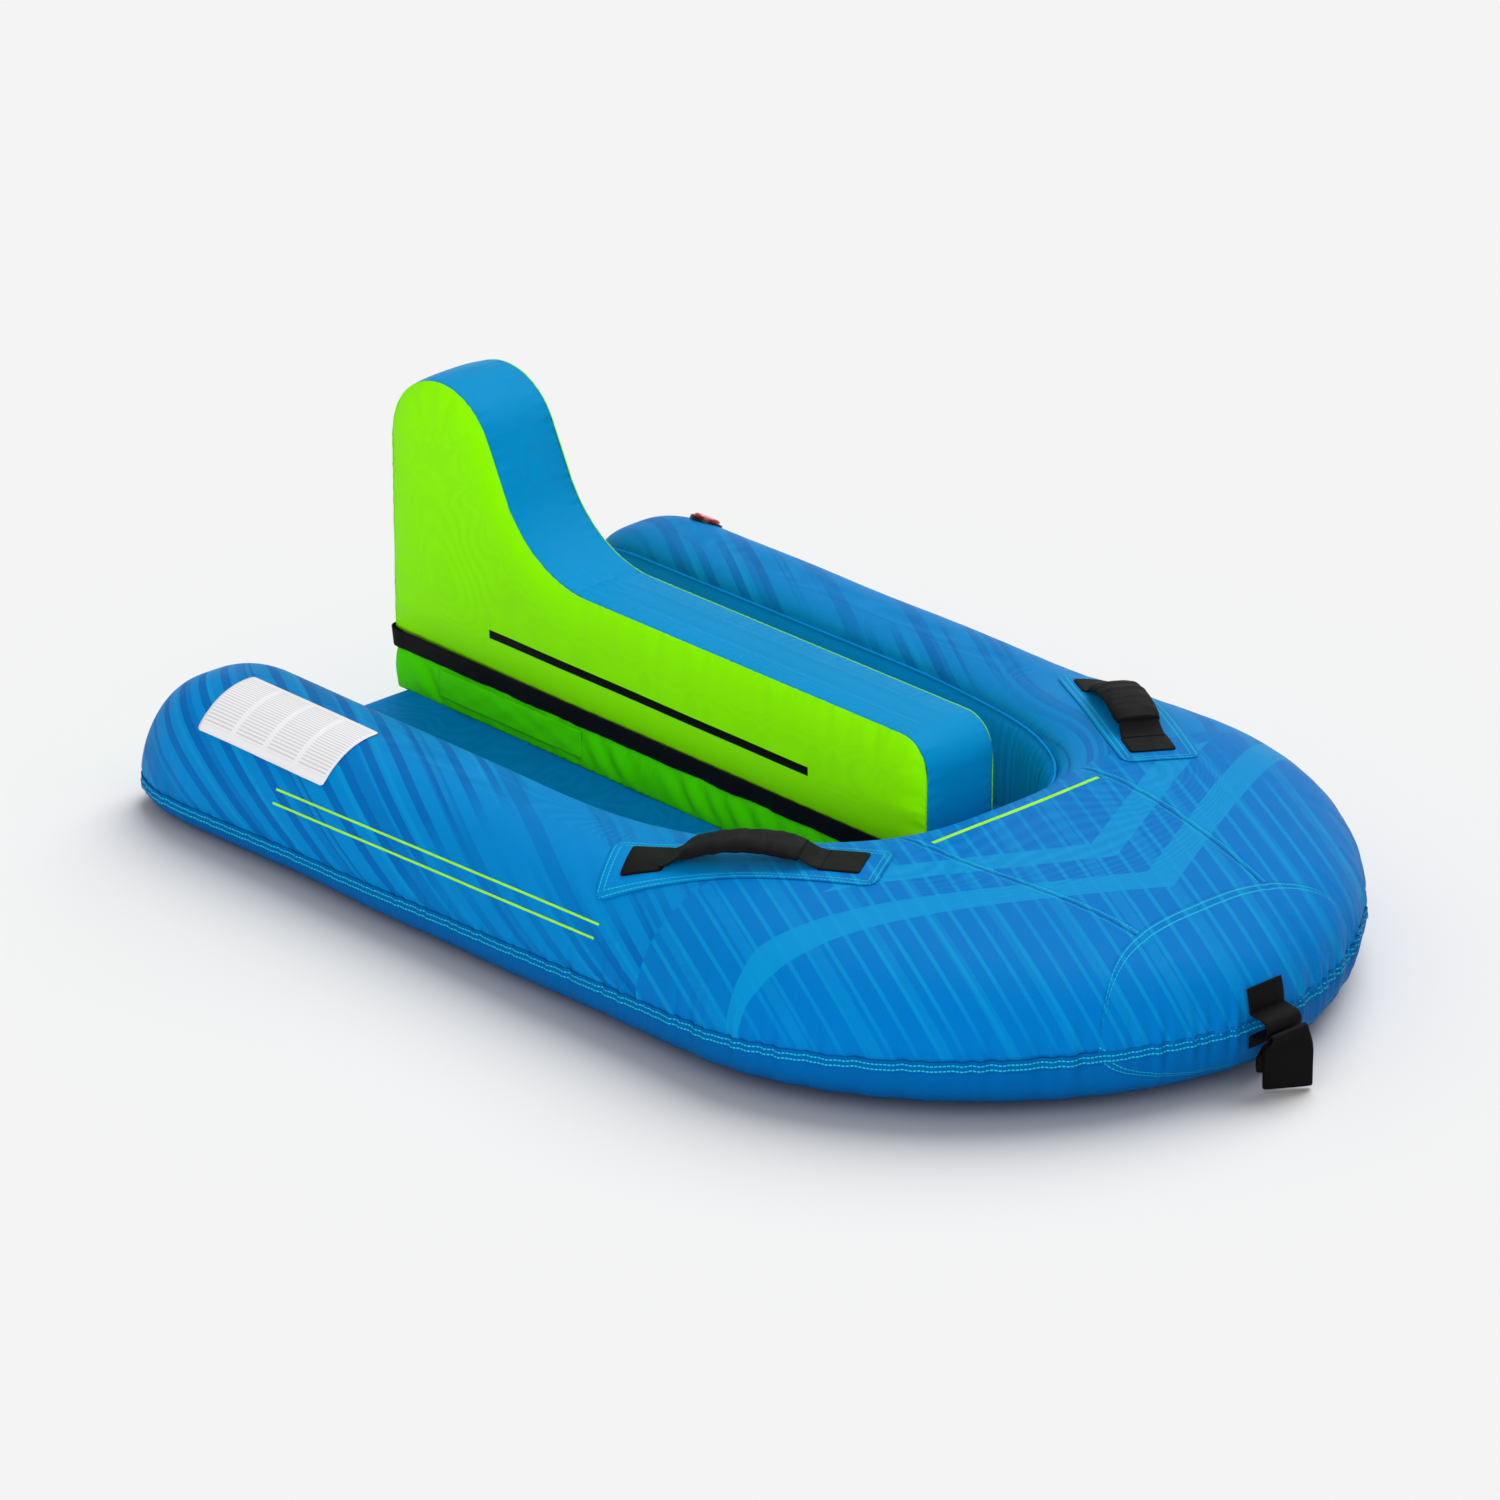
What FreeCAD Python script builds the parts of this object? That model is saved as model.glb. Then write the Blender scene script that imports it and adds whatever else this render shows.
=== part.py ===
# Towable water tube: U-shaped inflatable hull with a blunt nose, straddle seat with backrest,
# two carrying handles and a towing loop.  Nose toward -Y, up is +Z, the keel plane is X = 0.
import FreeCAD, Part
import math
import os
from FreeCAD import Vector, Placement, Rotation

doc = FreeCAD.newDocument("towable_tube")
sheet = doc.addObject("Spreadsheet::Sheet", "dimensions")

DIMENSIONS = [
    # hull plan
    ("hull_half_width", 411), ("hull_rear", 657), ("nose_start", -270), ("nose_length", 378),
    ("cockpit_half_width", 236), ("cockpit_bend_start", 150), ("cockpit_bend_length", 395),
    ("rear_round", 110),
    # hull height
    ("tube_height", 150), ("nose_height", 179), ("height_ramp_start", 40), ("height_ramp_length", 400),
    ("seam_mid_height", 48), ("seam_slope", 0.03), ("floor_top", 45), ("floor_rear", 610),
    # fabric
    ("cover_thick", 1.2), ("layer_gap", 0.6),
    # seat
    ("seat_half_width", 46), ("seat_rear", 617), ("seat_front", -213), ("seat_base", 45.1),
    ("bench_height", 237), ("back_radius", 82), ("back_height", 417), ("bend_radius", 145),
    ("bend_centre", 305), ("front_radius", 38), ("side_bulge", 11), ("side_inset", 22),
    ("zip_level", 112), ("flap_width", 21), ("skirt_offset", 2),
    # webbing
    ("webbing_width", 50), ("webbing_thick", 2.2), ("handle_rise", 27), ("grip_length", 124), ("grip_wall", 3),
    ("tow_drop", 64), ("tow_eye_radius", 9),
    # valves and zipper hardware
    ("valve_radius", 19), ("valve_cap_radius", 15), ("valve_stem_radius", 3),
]


def fill_sheet():
    for row, (alias, value) in enumerate(DIMENSIONS, start=1):
        sheet.set("A%d" % row, alias)
        sheet.set("B%d" % row, str(value))
        sheet.setAlias("B%d" % row, alias)
    doc.recompute()


fill_sheet()


def size(alias):
    return float(sheet.get(alias))


def bound(alias, factor=None):
    text = "dimensions." + alias
    return text if factor is None else "%s * %s" % (text, factor)


# ---------------------------------------------------------------- hull surface
RIGHT_ANGLE = math.pi / 2
QUARTER_STEPS = 8
STRAIGHT_STEPS = 4
NOSE_STEPS = 14
CAP_STEPS = 5
CREST_SHARE = 0.46
NOSE_CREST_SHARE = 0.12
OUTER_START = 0.45
KEEL_SINK = 3.0
BOW_POWER = 1.75
COCKPIT_POWER = 2.4
# superellipse powers of the section, on the tubes and at the nose
KEEL_POWERS = (3.0, 4.2)
OUTER_POWERS = (2.05, 3.0)
INNER_POWERS = (4.0, 2.8)
END_SWELL_POWER = 0.5
END_CAP_DEGREES = 78


def smooth(share):
    share = min(1.0, max(0.0, share))
    return share * share * (3 - 2 * share)


def mix(first, last, share):
    return first + (last - first) * share


def crest_height(y):
    ramp = (size("height_ramp_start") - y) / size("height_ramp_length")
    return mix(size("tube_height"), size("nose_height"), smooth(ramp))


def seam_height(y):
    return size("seam_mid_height") - size("seam_slope") * y


def bow(angle, power):
    """Unit superellipse point: along and across."""
    return abs(math.cos(angle)) ** (2 / power), abs(math.sin(angle)) ** (2 / power)


def cockpit_point(angle):
    across, along = bow(angle, COCKPIT_POWER)
    return Vector(size("cockpit_half_width") * across,
                  size("cockpit_bend_start") - size("cockpit_bend_length") * along, 0)


def outer_point(share):
    bend = (share - OUTER_START) / (1 - OUTER_START)
    if bend <= 0:
        y = mix(size("cockpit_bend_start"), size("nose_start"), share / OUTER_START)
        return Vector(size("hull_half_width"), y, 0)
    across, along = bow(bend * RIGHT_ANGLE, BOW_POWER)
    return Vector(size("hull_half_width") * across, size("nose_start") - size("nose_length") * along, 0)


def section(outer, inner, nose_share, inset, swell=1.0):
    """Closed ring of points round one slice of the tube, from the keel outward and back."""
    outward = (outer - inner).normalize()
    outer = outer - outward * inset
    inner = inner + outward * inset
    crest = inner + (outer - inner) * mix(CREST_SHARE, NOSE_CREST_SHARE, nose_share)
    keel = (outer + inner) * 0.5
    seam = seam_height(outer.y)
    top = crest_height(crest.y) - inset
    bottom = inset - KEEL_SINK
    keel_power = mix(*KEEL_POWERS, nose_share)
    corners = [
        (keel, bottom, outer, seam, keel_power, True),
        (outer, seam, crest, top, mix(*OUTER_POWERS, nose_share), False),
        (crest, top, inner, seam, mix(*INNER_POWERS, nose_share), True),
        (inner, seam, keel, bottom, keel_power, False),
    ]
    ring = []
    for start, start_z, end, end_z, power, flat_first in corners:
        for step in range(QUARTER_STEPS):
            along, across = bow(RIGHT_ANGLE * smooth(step / QUARTER_STEPS), power)
            move_plan = across if flat_first else 1 - along
            move_rise = 1 - along if flat_first else across
            point = start + (end - start) * move_plan
            point.z = start_z + (end_z - start_z) * move_rise
            ring.append(point)
    if swell < 1:
        centre = Vector(keel.x, keel.y, seam)
        ring = [centre + (point - centre) * swell for point in ring]
    ring.append(ring[0])
    return ring


def half_hull_rings(inset):
    half = size("hull_half_width")
    cockpit = size("cockpit_half_width")
    round_start = size("hull_rear") - size("rear_round")
    rings = []
    for step in range(CAP_STEPS):
        angle = math.radians(mix(END_CAP_DEGREES, 0, step / (CAP_STEPS - 1)))
        y = round_start + (size("rear_round") - inset) * math.sin(angle)
        swell = math.cos(angle) ** END_SWELL_POWER
        rings.append(section(Vector(half, y, 0), Vector(cockpit, y, 0), 0, inset, swell))
    for step in range(1, STRAIGHT_STEPS):
        y = mix(round_start, size("cockpit_bend_start"), step / STRAIGHT_STEPS)
        rings.append(section(Vector(half, y, 0), Vector(cockpit, y, 0), 0, inset))
    for step in range(NOSE_STEPS + 1):
        share = step / NOSE_STEPS
        nose_share = smooth((share - OUTER_START) / (1 - OUTER_START))
        rings.append(section(outer_point(share), cockpit_point(share * RIGHT_ANGLE), nose_share, inset))
    return rings


def hull_solid(inset):
    """Whole U-shaped tube, pulled in by inset, resting flat on its keel."""
    port = half_hull_rings(inset)
    starboard = [[Vector(-p.x, p.y, p.z) for p in ring] for ring in port[-2::-1]]
    surface = Part.BSplineSurface()
    surface.interpolate(port + starboard)
    skin = surface.toShape()
    caps = []
    for edge in skin.Edges:
        if edge.BoundBox.YLength < 0.01:
            caps.append(Part.Face(Part.Wire([edge])))
    shell = Part.Shell([skin] + caps)
    shell.sewShape()
    solid = Part.Solid(shell)
    if solid.Volume < 0:
        solid.reverse()
    ground = Part.makeBox(1200, 1700, 400, Vector(-600, -850, inset))
    return solid.common(ground)


# ---------------------------------------------------------------- object helpers
made = []


def keep(label, obj):
    obj.Label = label
    made.append((label, obj))
    return obj


def feature(label, shape, placement=None):
    """A free-form piece cut from the hull surface, placed in the hull's own frame."""
    obj = doc.addObject("Part::Feature", label)
    obj.Shape = shape
    obj.Placement = placement or Placement()
    return keep(label, obj)


def body(label):
    return keep(label, doc.addObject("PartDesign::Body", label))


def plane_sketch(owner, name, role, edges, offset=0.0):
    plane = [item for item in owner.Origin.OriginFeatures if item.Role == role][0]
    sketch = owner.newObject("Sketcher::SketchObject", name)
    sketch.AttachmentSupport = (plane, "")
    sketch.MapMode = "FlatFace"
    sketch.AttachmentOffset = Placement(Vector(0, 0, offset), Rotation())
    sketch.addGeometry(edges, False)
    doc.recompute()
    return sketch


def pad(owner, sketch, length_text, centred=False):
    step = owner.newObject("PartDesign::Pad", owner.Label + "_pad")
    step.Profile = sketch
    step.Midplane = centred
    step.setExpression("Length", length_text)
    doc.recompute()
    return step


def revolve(owner, sketch):
    step = owner.newObject("PartDesign::Revolution", owner.Label + "_turn")
    step.Profile = sketch
    step.ReferenceAxis = (sketch, ["V_Axis"])
    step.Angle = 360
    doc.recompute()
    return step


def polyline(points):
    ends = points[1:] + points[:1]
    return [Part.LineSegment(Vector(a[0], a[1], 0), Vector(b[0], b[1], 0)) for a, b in zip(points, ends)]


def rectangle(low_x, low_y, high_x, high_y):
    return polyline([(low_x, low_y), (high_x, low_y), (high_x, high_y), (low_x, high_y)])


def slab(low, high):
    return Part.makeBox(high[0] - low[0], high[1] - low[1], high[2] - low[2], Vector(*low))


def biggest(shape):
    return max(shape.Solids, key=lambda solid: solid.Volume)


# ---------------------------------------------------------------- hull layers
cover = size("cover_thick")
gap = size("layer_gap")
TOUCH = 0.05

hull_skin = hull_solid(0)
hull_lining = hull_solid(cover)
patch_under = hull_solid(-TOUCH)
patch_over = hull_solid(-TOUCH - cover)
strap_under = hull_solid(-2 * TOUCH - cover)
strap_over = hull_solid(-2 * TOUCH - cover - size("webbing_thick"))
tube_shell = hull_skin.cut(hull_lining)


def seam_slab(below, above):
    """Tilted slab that follows the perimeter seam from stern to nose."""
    block = Part.makeBox(1200, 1700, below + above, Vector(-600, -850, -below))
    tilt = math.degrees(math.atan(-size("seam_slope")))
    block.Placement = Placement(Vector(0, 0, size("seam_mid_height")), Rotation(Vector(1, 0, 0), tilt))
    return block


def cockpit_prism(outward, low, high, rear):
    """Vertical prism over the cockpit opening, grown outward by a distance."""
    half = size("cockpit_half_width") + outward
    steps = 10
    front = [cockpit_point(RIGHT_ANGLE * step / steps) for step in range(steps + 1)]
    points = []
    for step, point in enumerate(front):
        angle = RIGHT_ANGLE * step / steps
        points.append(Vector(point.x + outward * math.cos(angle), point.y - outward * math.sin(angle), low))
    points += [Vector(-p.x, p.y, p.z) for p in points[-2::-1]]
    curve = Part.BSplineCurve()
    curve.interpolate(points)
    corners = [Vector(-half, rear, low), Vector(half, rear, low)]
    edges = [curve.toShape(), Part.makeLine(points[-1], corners[0]),
             Part.makeLine(corners[0], corners[1]), Part.makeLine(corners[1], points[0])]
    return Part.Face(Part.Wire(edges)).extrude(Vector(0, 0, high - low))


def conforming(under, over, cutter):
    """Piece of a layer that hugs the hull, limited by a cutter."""
    return over.common(cutter).cut(under)


def upright_block(centre_x, centre_y, length, width, turn, low, high):
    block = Part.makeBox(length, width, high - low, Vector(-length / 2, -width / 2, low))
    block.Placement = Placement(Vector(centre_x, centre_y, 0), Rotation(Vector(0, 0, 1), turn))
    return block


RIM_OFFSET = 12
RIM_HALF_WIDTH = 3
PATCH_HALF_WIDTH = 190
PATCH_REACH = 150
TALL = 400
REAR_PAST = size("hull_rear") + 40


def make_hull_covers():
    upper = tube_shell.common(seam_slab(0, TALL))
    lower = tube_shell.common(seam_slab(TALL, 0))
    opening = cockpit_prism(RIM_OFFSET, 0, TALL, REAR_PAST)
    hole = valve_cutter(size("valve_radius") - 2.7)
    feature("top_cover", biggest(upper.cut(opening).cut(hole)))
    feature("cockpit_wall", biggest(upper.common(opening)))
    feature("bottom_cover", biggest(lower))


def make_rim_and_seam():
    ring = cockpit_prism(RIM_OFFSET + RIM_HALF_WIDTH, 0, TALL, REAR_PAST - 60)
    ring = ring.cut(cockpit_prism(RIM_OFFSET - RIM_HALF_WIDTH, -1, TALL + 1, REAR_PAST))
    ring = ring.common(seam_slab(-20, TALL))
    feature("rim_piping", biggest(conforming(patch_under, patch_over, ring)))
    band = seam_slab(6, 6).cut(cockpit_prism(60, 0, TALL, REAR_PAST))
    band = band.cut(nose_prism())
    tape = conforming(patch_under, patch_over, band)
    feature("seam_tape", Part.makeCompound(tape.Solids) if len(tape.Solids) > 1 else tape.Solids[0])


def nose_prism():
    """Upright prism over the rounded doubling patch at the nose tip."""
    ellipse = Part.Ellipse(Vector(0, outer_point(1).y, 20), PATCH_HALF_WIDTH, PATCH_REACH).toShape()
    return Part.Face(Part.Wire([ellipse])).extrude(Vector(0, 0, TALL))


def make_bladders():
    chamber = hull_solid(cover + gap)
    feature("hull_bladder", biggest(chamber.cut(valve_cutter(size("valve_radius") - 2.7))))
    low, high = 9, size("floor_top") - cover - 1
    chamber = slab((-320, -400, low), (320, size("floor_rear") - 4, high)).cut(strap_under)
    feature("floor_bladder", central(chamber))


def central(shape):
    return min(shape.Solids, key=lambda solid: abs(solid.CenterOfMass.x) + (solid.Volume < 1e5) * 1e3)


def make_floor():
    top = size("floor_top")
    panel = slab((-320, -400, top - cover), (320, size("floor_rear"), top)).cut(patch_under)
    feature("floor_panel", central(panel))
    panel = slab((-320, -440, 6), (320, size("floor_rear"), 6 + cover)).cut(patch_under)
    feature("bottom_panel", central(panel))
    mesh = doc.addObject("Part::Box", "drain_mesh")
    mesh.Length, mesh.Width = 44, 56
    mesh.setExpression("Height", bound("cover_thick"))
    mesh.Placement = Placement(Vector(70, -192, top + TOUCH), Rotation())
    keep("drain_mesh", mesh)
    tag = doc.addObject("Part::Box", "floor_tag")
    tag.Length, tag.Width, tag.Height = 22, 12, 0.6
    tag.Placement = Placement(Vector(78, -180, top + cover + 2 * TOUCH), Rotation())
    keep("floor_tag", tag)


# ---------------------------------------------------------------- patches, handles and tow point
HANDLE_X = 270
HANDLE_Y = -182
HANDLE_LENGTH = 206
HANDLE_TURN = 58.7
HANDLE_PITCH = 6.8
HANDLE_HEIGHT = 168.4
TAB_LENGTH = 44
LABEL_X = -348
LABEL_Y = 440
LABEL_WIDTH = 78
LABEL_LENGTH = 205
SIDES = (("port", 1), ("starboard", -1))


def handle_block(side, length, width, shift, low, high):
    angle = math.radians(HANDLE_TURN)
    centre_x = side * (HANDLE_X + shift * math.cos(angle))
    centre_y = HANDLE_Y + shift * math.sin(angle)
    return upright_block(centre_x, centre_y, length, width, side * HANDLE_TURN, low, high)


def make_patches():
    for name, side in SIDES:
        block = handle_block(side, HANDLE_LENGTH + 2 * TAB_LENGTH, 84, 0, 60, TALL)
        block = block.cut(cockpit_prism(RIM_OFFSET + RIM_HALF_WIDTH + 1, 0, TALL + 10, REAR_PAST))
        feature("handle_patch_" + name, biggest(conforming(patch_under, patch_over, block)))
        tabs = []
        for end in (-1, 1):
            block = handle_block(side, TAB_LENGTH, size("webbing_width"), end * HANDLE_LENGTH / 2, 60, TALL)
            tabs.append(biggest(conforming(strap_under, strap_over, block)))
        feature("handle_tabs_" + name, Part.makeCompound(tabs))
    feature("nose_patch", biggest(conforming(patch_under, patch_over, nose_prism())))
    label = upright_block(LABEL_X, LABEL_Y, LABEL_WIDTH, LABEL_LENGTH, 0, 60, TALL)
    feature("rear_label", biggest(conforming(patch_under, patch_over, label)))


def handle_placement(side):
    turn = Rotation(Vector(0, 0, 1), side * HANDLE_TURN + (180 if side > 0 else 0))
    pitch = Rotation(Vector(0, 1, 0), -HANDLE_PITCH)
    return Placement(Vector(side * HANDLE_X, HANDLE_Y, HANDLE_HEIGHT), turn.multiply(pitch))


def arch_strip(low, high, inner_shift, outer_shift):
    """Curved strip of the carrying arch seen from the side, between two stations along it."""
    span = HANDLE_LENGTH - TAB_LENGTH - 4
    rise = size("handle_rise") - 8
    radius = (span * span / 4 + rise * rise) / (2 * rise)
    centre = Vector(0, rise - radius + 4, 0)
    edges, rims = [], []
    for reach in (radius + inner_shift, radius + outer_shift):
        angles = [math.acos(high / reach), math.acos(low / reach)]
        edges.append(Part.ArcOfCircle(Part.Circle(centre, Vector(0, 0, 1), reach), *angles))
        rims.append([centre + Vector(math.cos(a), math.sin(a), 0) * reach for a in angles])
    return edges + [Part.LineSegment(rims[0][0], rims[1][0]), Part.LineSegment(rims[0][1], rims[1][1])]


def make_handles():
    end = (HANDLE_LENGTH - TAB_LENGTH) / 2 - 0.5
    grip_half = size("grip_length") / 2
    web, wall = size("webbing_thick"), size("grip_wall")
    for name, side in SIDES:
        place = handle_placement(side)
        strap = body("handle_strap_" + name)
        sketch = plane_sketch(strap, "strap_side_" + name, "XZ_Plane", arch_strip(-grip_half, grip_half, 0, web))
        pad(strap, sketch, bound("webbing_width", 0.8), True)
        strap.Placement = place
        for which, sign in (("rear", -1), ("front", 1)):
            tail = body("handle_tail_%s_%s" % (which, name))
            low, high = sorted((sign * (grip_half + 1), sign * end))
            sketch = plane_sketch(tail, "tail_side_" + which + name, "XZ_Plane", arch_strip(low, high, 0, web))
            pad(tail, sketch, bound("webbing_width", 0.8), True)
            tail.Placement = place
        grip = body("handle_grip_" + name)
        sketch = plane_sketch(grip, "grip_side_" + name, "XZ_Plane",
                              arch_strip(-grip_half, grip_half, -wall, web + wall))
        pad(grip, sketch, bound("webbing_width", 0.94), True)
        slot = plane_sketch(grip, "grip_slot_" + name, "XZ_Plane",
                            arch_strip(-grip_half - 2, grip_half + 2, -0.4, web + 0.4))
        pocket = grip.newObject("PartDesign::Pocket", "grip_slot_cut_" + name)
        pocket.Profile = slot
        pocket.Midplane = True
        pocket.setExpression("Length", bound("webbing_width", 0.82))
        doc.recompute()
        grip.Placement = place


def make_tow_point():
    radius = size("tow_eye_radius")
    thick = size("webbing_thick")
    width = size("webbing_width")
    eye_y = outer_point(1).y - cover - thick - radius - 4.0
    eye_z = seam_height(outer_point(1).y)
    block = slab((-width / 2, -700, eye_z - 26), (width / 2, -600, eye_z + 40))
    plate = biggest(conforming(strap_under, strap_over, block))
    eye = Part.makeCylinder(radius + thick, width, Vector(-width / 2, eye_y, eye_z), Vector(1, 0, 0))
    core = Part.makeCylinder(radius, width + 2, Vector(-width / 2 - 1, eye_y, eye_z), Vector(1, 0, 0))
    web = slab((-width / 2, eye_y, eye_z - radius - thick), (width / 2, outer_point(1).y + 4, eye_z + radius + thick))
    hollow = slab((-width / 2 - 1, eye_y, eye_z - radius), (width / 2 + 1, outer_point(1).y + 6, eye_z + radius))
    sleeve = eye.fuse(web).cut(core).cut(hollow).cut(strap_over)
    feature("tow_anchor", biggest(plate.fuse(sleeve)).removeSplitter())
    front = eye_y - radius - thick - 0.6
    drop_top = eye_z - 1
    fold = 4.2
    low = drop_top - size("tow_drop")
    for label, centre_y, top, bottom in (
            ("tow_strap_front", front - fold, drop_top, low),
            ("tow_strap_back", front + fold + 1.0, eye_z - radius - thick - 2, low + 15)):
        outer = Part.Face(stadium(-width / 2, centre_y, top, bottom, fold))
        inner = Part.Face(stadium(-width / 2, centre_y, top - thick, bottom + thick, fold - thick))
        feature(label, outer.cut(inner).extrude(Vector(width, 0, 0)).Solids[0])


def stadium(x, centre_y, top, low, radius):
    """Upright folded loop seen from the side: two half rounds joined by straight runs."""
    upper = Vector(x, centre_y, top - radius)
    lower = Vector(x, centre_y, low + radius)
    side, rise = Vector(0, radius, 0), Vector(0, 0, radius)
    return Part.Wire([Part.Arc(upper + side, upper + rise, upper - side).toShape(),
                      Part.makeLine(upper - side, lower - side),
                      Part.Arc(lower - side, lower - rise, lower + side).toShape(),
                      Part.makeLine(lower + side, upper + side)])


# ---------------------------------------------------------------- seat
def seat_path(inset, bottom):
    """Open side outline of the seat from the rear foot over the backrest to the front foot."""
    back = Vector(size("seat_rear") - size("back_radius"), size("back_height") - size("back_radius"), 0)
    bend = Vector(size("bend_centre"), size("bench_height") + size("bend_radius"), 0)
    nose = Vector(size("seat_front") + size("front_radius"), size("bench_height") - size("front_radius"), 0)
    back_r, bend_r, nose_r = size("back_radius") - inset, size("bend_radius") + inset, size("front_radius") - inset
    between = back - bend
    lean = math.atan2(between.y, between.x) - math.acos((back_r + bend_r) / between.Length)
    along = Vector(math.cos(lean), math.sin(lean), 0)
    up = Vector(0, 0, 1)
    rear_y, front_y = size("seat_rear") - inset, size("seat_front") + inset
    bench_z = size("bench_height") - inset
    foot_rear, foot_front = Vector(rear_y, bottom, 0), Vector(front_y, bottom, 0)
    edges = [
        Part.LineSegment(foot_rear, Vector(rear_y, back.y, 0)),
        Part.ArcOfCircle(Part.Circle(back, up, back_r), 0, lean + math.pi),
        Part.LineSegment(back - along * back_r, bend + along * bend_r),
        Part.ArcOfCircle(Part.Circle(bend, up, bend_r), -RIGHT_ANGLE, lean),
        Part.LineSegment(Vector(bend.x, bench_z, 0), Vector(nose.x, bench_z, 0)),
        Part.ArcOfCircle(Part.Circle(nose, up, nose_r), RIGHT_ANGLE, math.pi),
        Part.LineSegment(Vector(front_y, nose.y, 0), foot_front),
    ]
    return edges, foot_rear, foot_front


def closed_outline(inset, bottom):
    edges, rear, front = seat_path(inset, bottom)
    return edges + [Part.LineSegment(front, rear)]


def band_outline(inset, thick, bottom):
    outer, outer_rear, outer_front = seat_path(inset, bottom)
    inner, inner_rear, inner_front = seat_path(inset + thick, bottom)
    return outer + inner + [Part.LineSegment(outer_rear, inner_rear), Part.LineSegment(outer_front, inner_front)]


def make_seat():
    zip_level = size("zip_level")
    gusset = body("seat_gusset")
    sketch = plane_sketch(gusset, "gusset_side", "YZ_Plane", band_outline(0, cover, zip_level))
    pad(gusset, sketch, bound("seat_half_width", 2), True)
    for name, side in SIDES:
        panel = body("seat_side_" + name)
        near = side * size("seat_half_width")
        reach = size("side_bulge")
        loft_pair(panel, "PartDesign::AdditiveLoft", side, near, side * reach, 0, zip_level)
        loft_pair(panel, "PartDesign::SubtractiveLoft", side, near, side * (reach - cover), cover, zip_level)
    bladder = body("seat_bladder")
    inset = cover + gap
    sketch = plane_sketch(bladder, "bladder_side", "YZ_Plane", closed_outline(inset, size("seat_base") + 3))
    pad(bladder, sketch, "dimensions.seat_half_width * 2 - 2.4", True)
    well = plane_sketch(bladder, "valve_well", "YZ_Plane", [Part.Circle(Vector(430, 68, 0), Vector(0, 0, 1), 13.5)],
                        -size("seat_half_width"))
    pocket = bladder.newObject("PartDesign::Pocket", "valve_well_cut")
    pocket.Profile = well
    pocket.Length = 16
    pocket.Reversed = True
    doc.recompute()


def loft_pair(owner, kind, side, near, reach, inset, bottom):
    first = closed_outline(inset, bottom + inset)
    second = closed_outline(inset + size("side_inset"), bottom + inset + 9)
    lower = plane_sketch(owner, owner.Label + "_root_%d" % inset, "YZ_Plane", first, near)
    upper = plane_sketch(owner, owner.Label + "_crown_%d" % inset, "YZ_Plane", second, near + reach)
    loft = owner.newObject(kind, owner.Label + "_loft_%d" % inset)
    loft.Profile = lower
    loft.Sections = [upper]
    loft.Ruled = True
    doc.recompute()


def ring_body(label, offset, thick, low, high_text, open_front=False):
    """Level band round the foot of the seat."""
    half = size("seat_half_width") + offset
    rear, front = size("seat_rear") + offset, size("seat_front") - offset
    ring = body(label)
    if open_front:
        edges = polyline([(-half, front), (-half, rear), (half, rear), (half, front),
                          (half - thick, front), (half - thick, rear - thick),
                          (-half + thick, rear - thick), (-half + thick, front)])
    else:
        edges = rectangle(-half, front, half, rear)
        edges += rectangle(-half + thick, front + thick, half - thick, rear - thick)
    sketch = plane_sketch(ring, label + "_plan", "XY_Plane", edges, low)
    pad(ring, sketch, high_text)
    return ring


def make_seat_foot():
    base, zip_level, offset = size("seat_base"), size("zip_level"), size("skirt_offset")
    skirt = ring_body("seat_skirt", offset, cover, base, "dimensions.zip_level - dimensions.seat_base - 21")
    window = plane_sketch(skirt, "valve_window", "YZ_Plane", rectangle(330, 53, 520, 84), -60)
    pocket = skirt.newObject("PartDesign::Pocket", "valve_window_cut")
    pocket.Profile = window
    pocket.Length = 20
    pocket.Reversed = True
    doc.recompute()
    ring_body("seat_zip_tape", 1.3, cover, zip_level - 20.6, "20.4")
    flap = ring_body("seat_zip_flap", offset + 1.8, cover, zip_level - size("flap_width") - 1,
                     bound("flap_width"), True)
    rear_gap = plane_sketch(flap, "rear_cutaway", "XZ_Plane", rectangle(-44, zip_level - 13, 44, zip_level + 5),
                            -size("seat_rear") - 20)
    pocket = flap.newObject("PartDesign::Pocket", "rear_cutaway_cut")
    pocket.Profile = rear_gap
    pocket.Length = 40
    pocket.Midplane = True
    doc.recompute()
    plate = doc.addObject("Part::Box", "seat_access_flap")
    plate.Length, plate.Width, plate.Height = 1.2, 230, 36
    plate.Placement = Placement(Vector(-size("seat_half_width") - offset - 0.3 - 1.2, 310, 50), Rotation())
    keep("seat_access_flap", plate)


PULL_X = -32
PULL_LENGTH = 26


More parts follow.
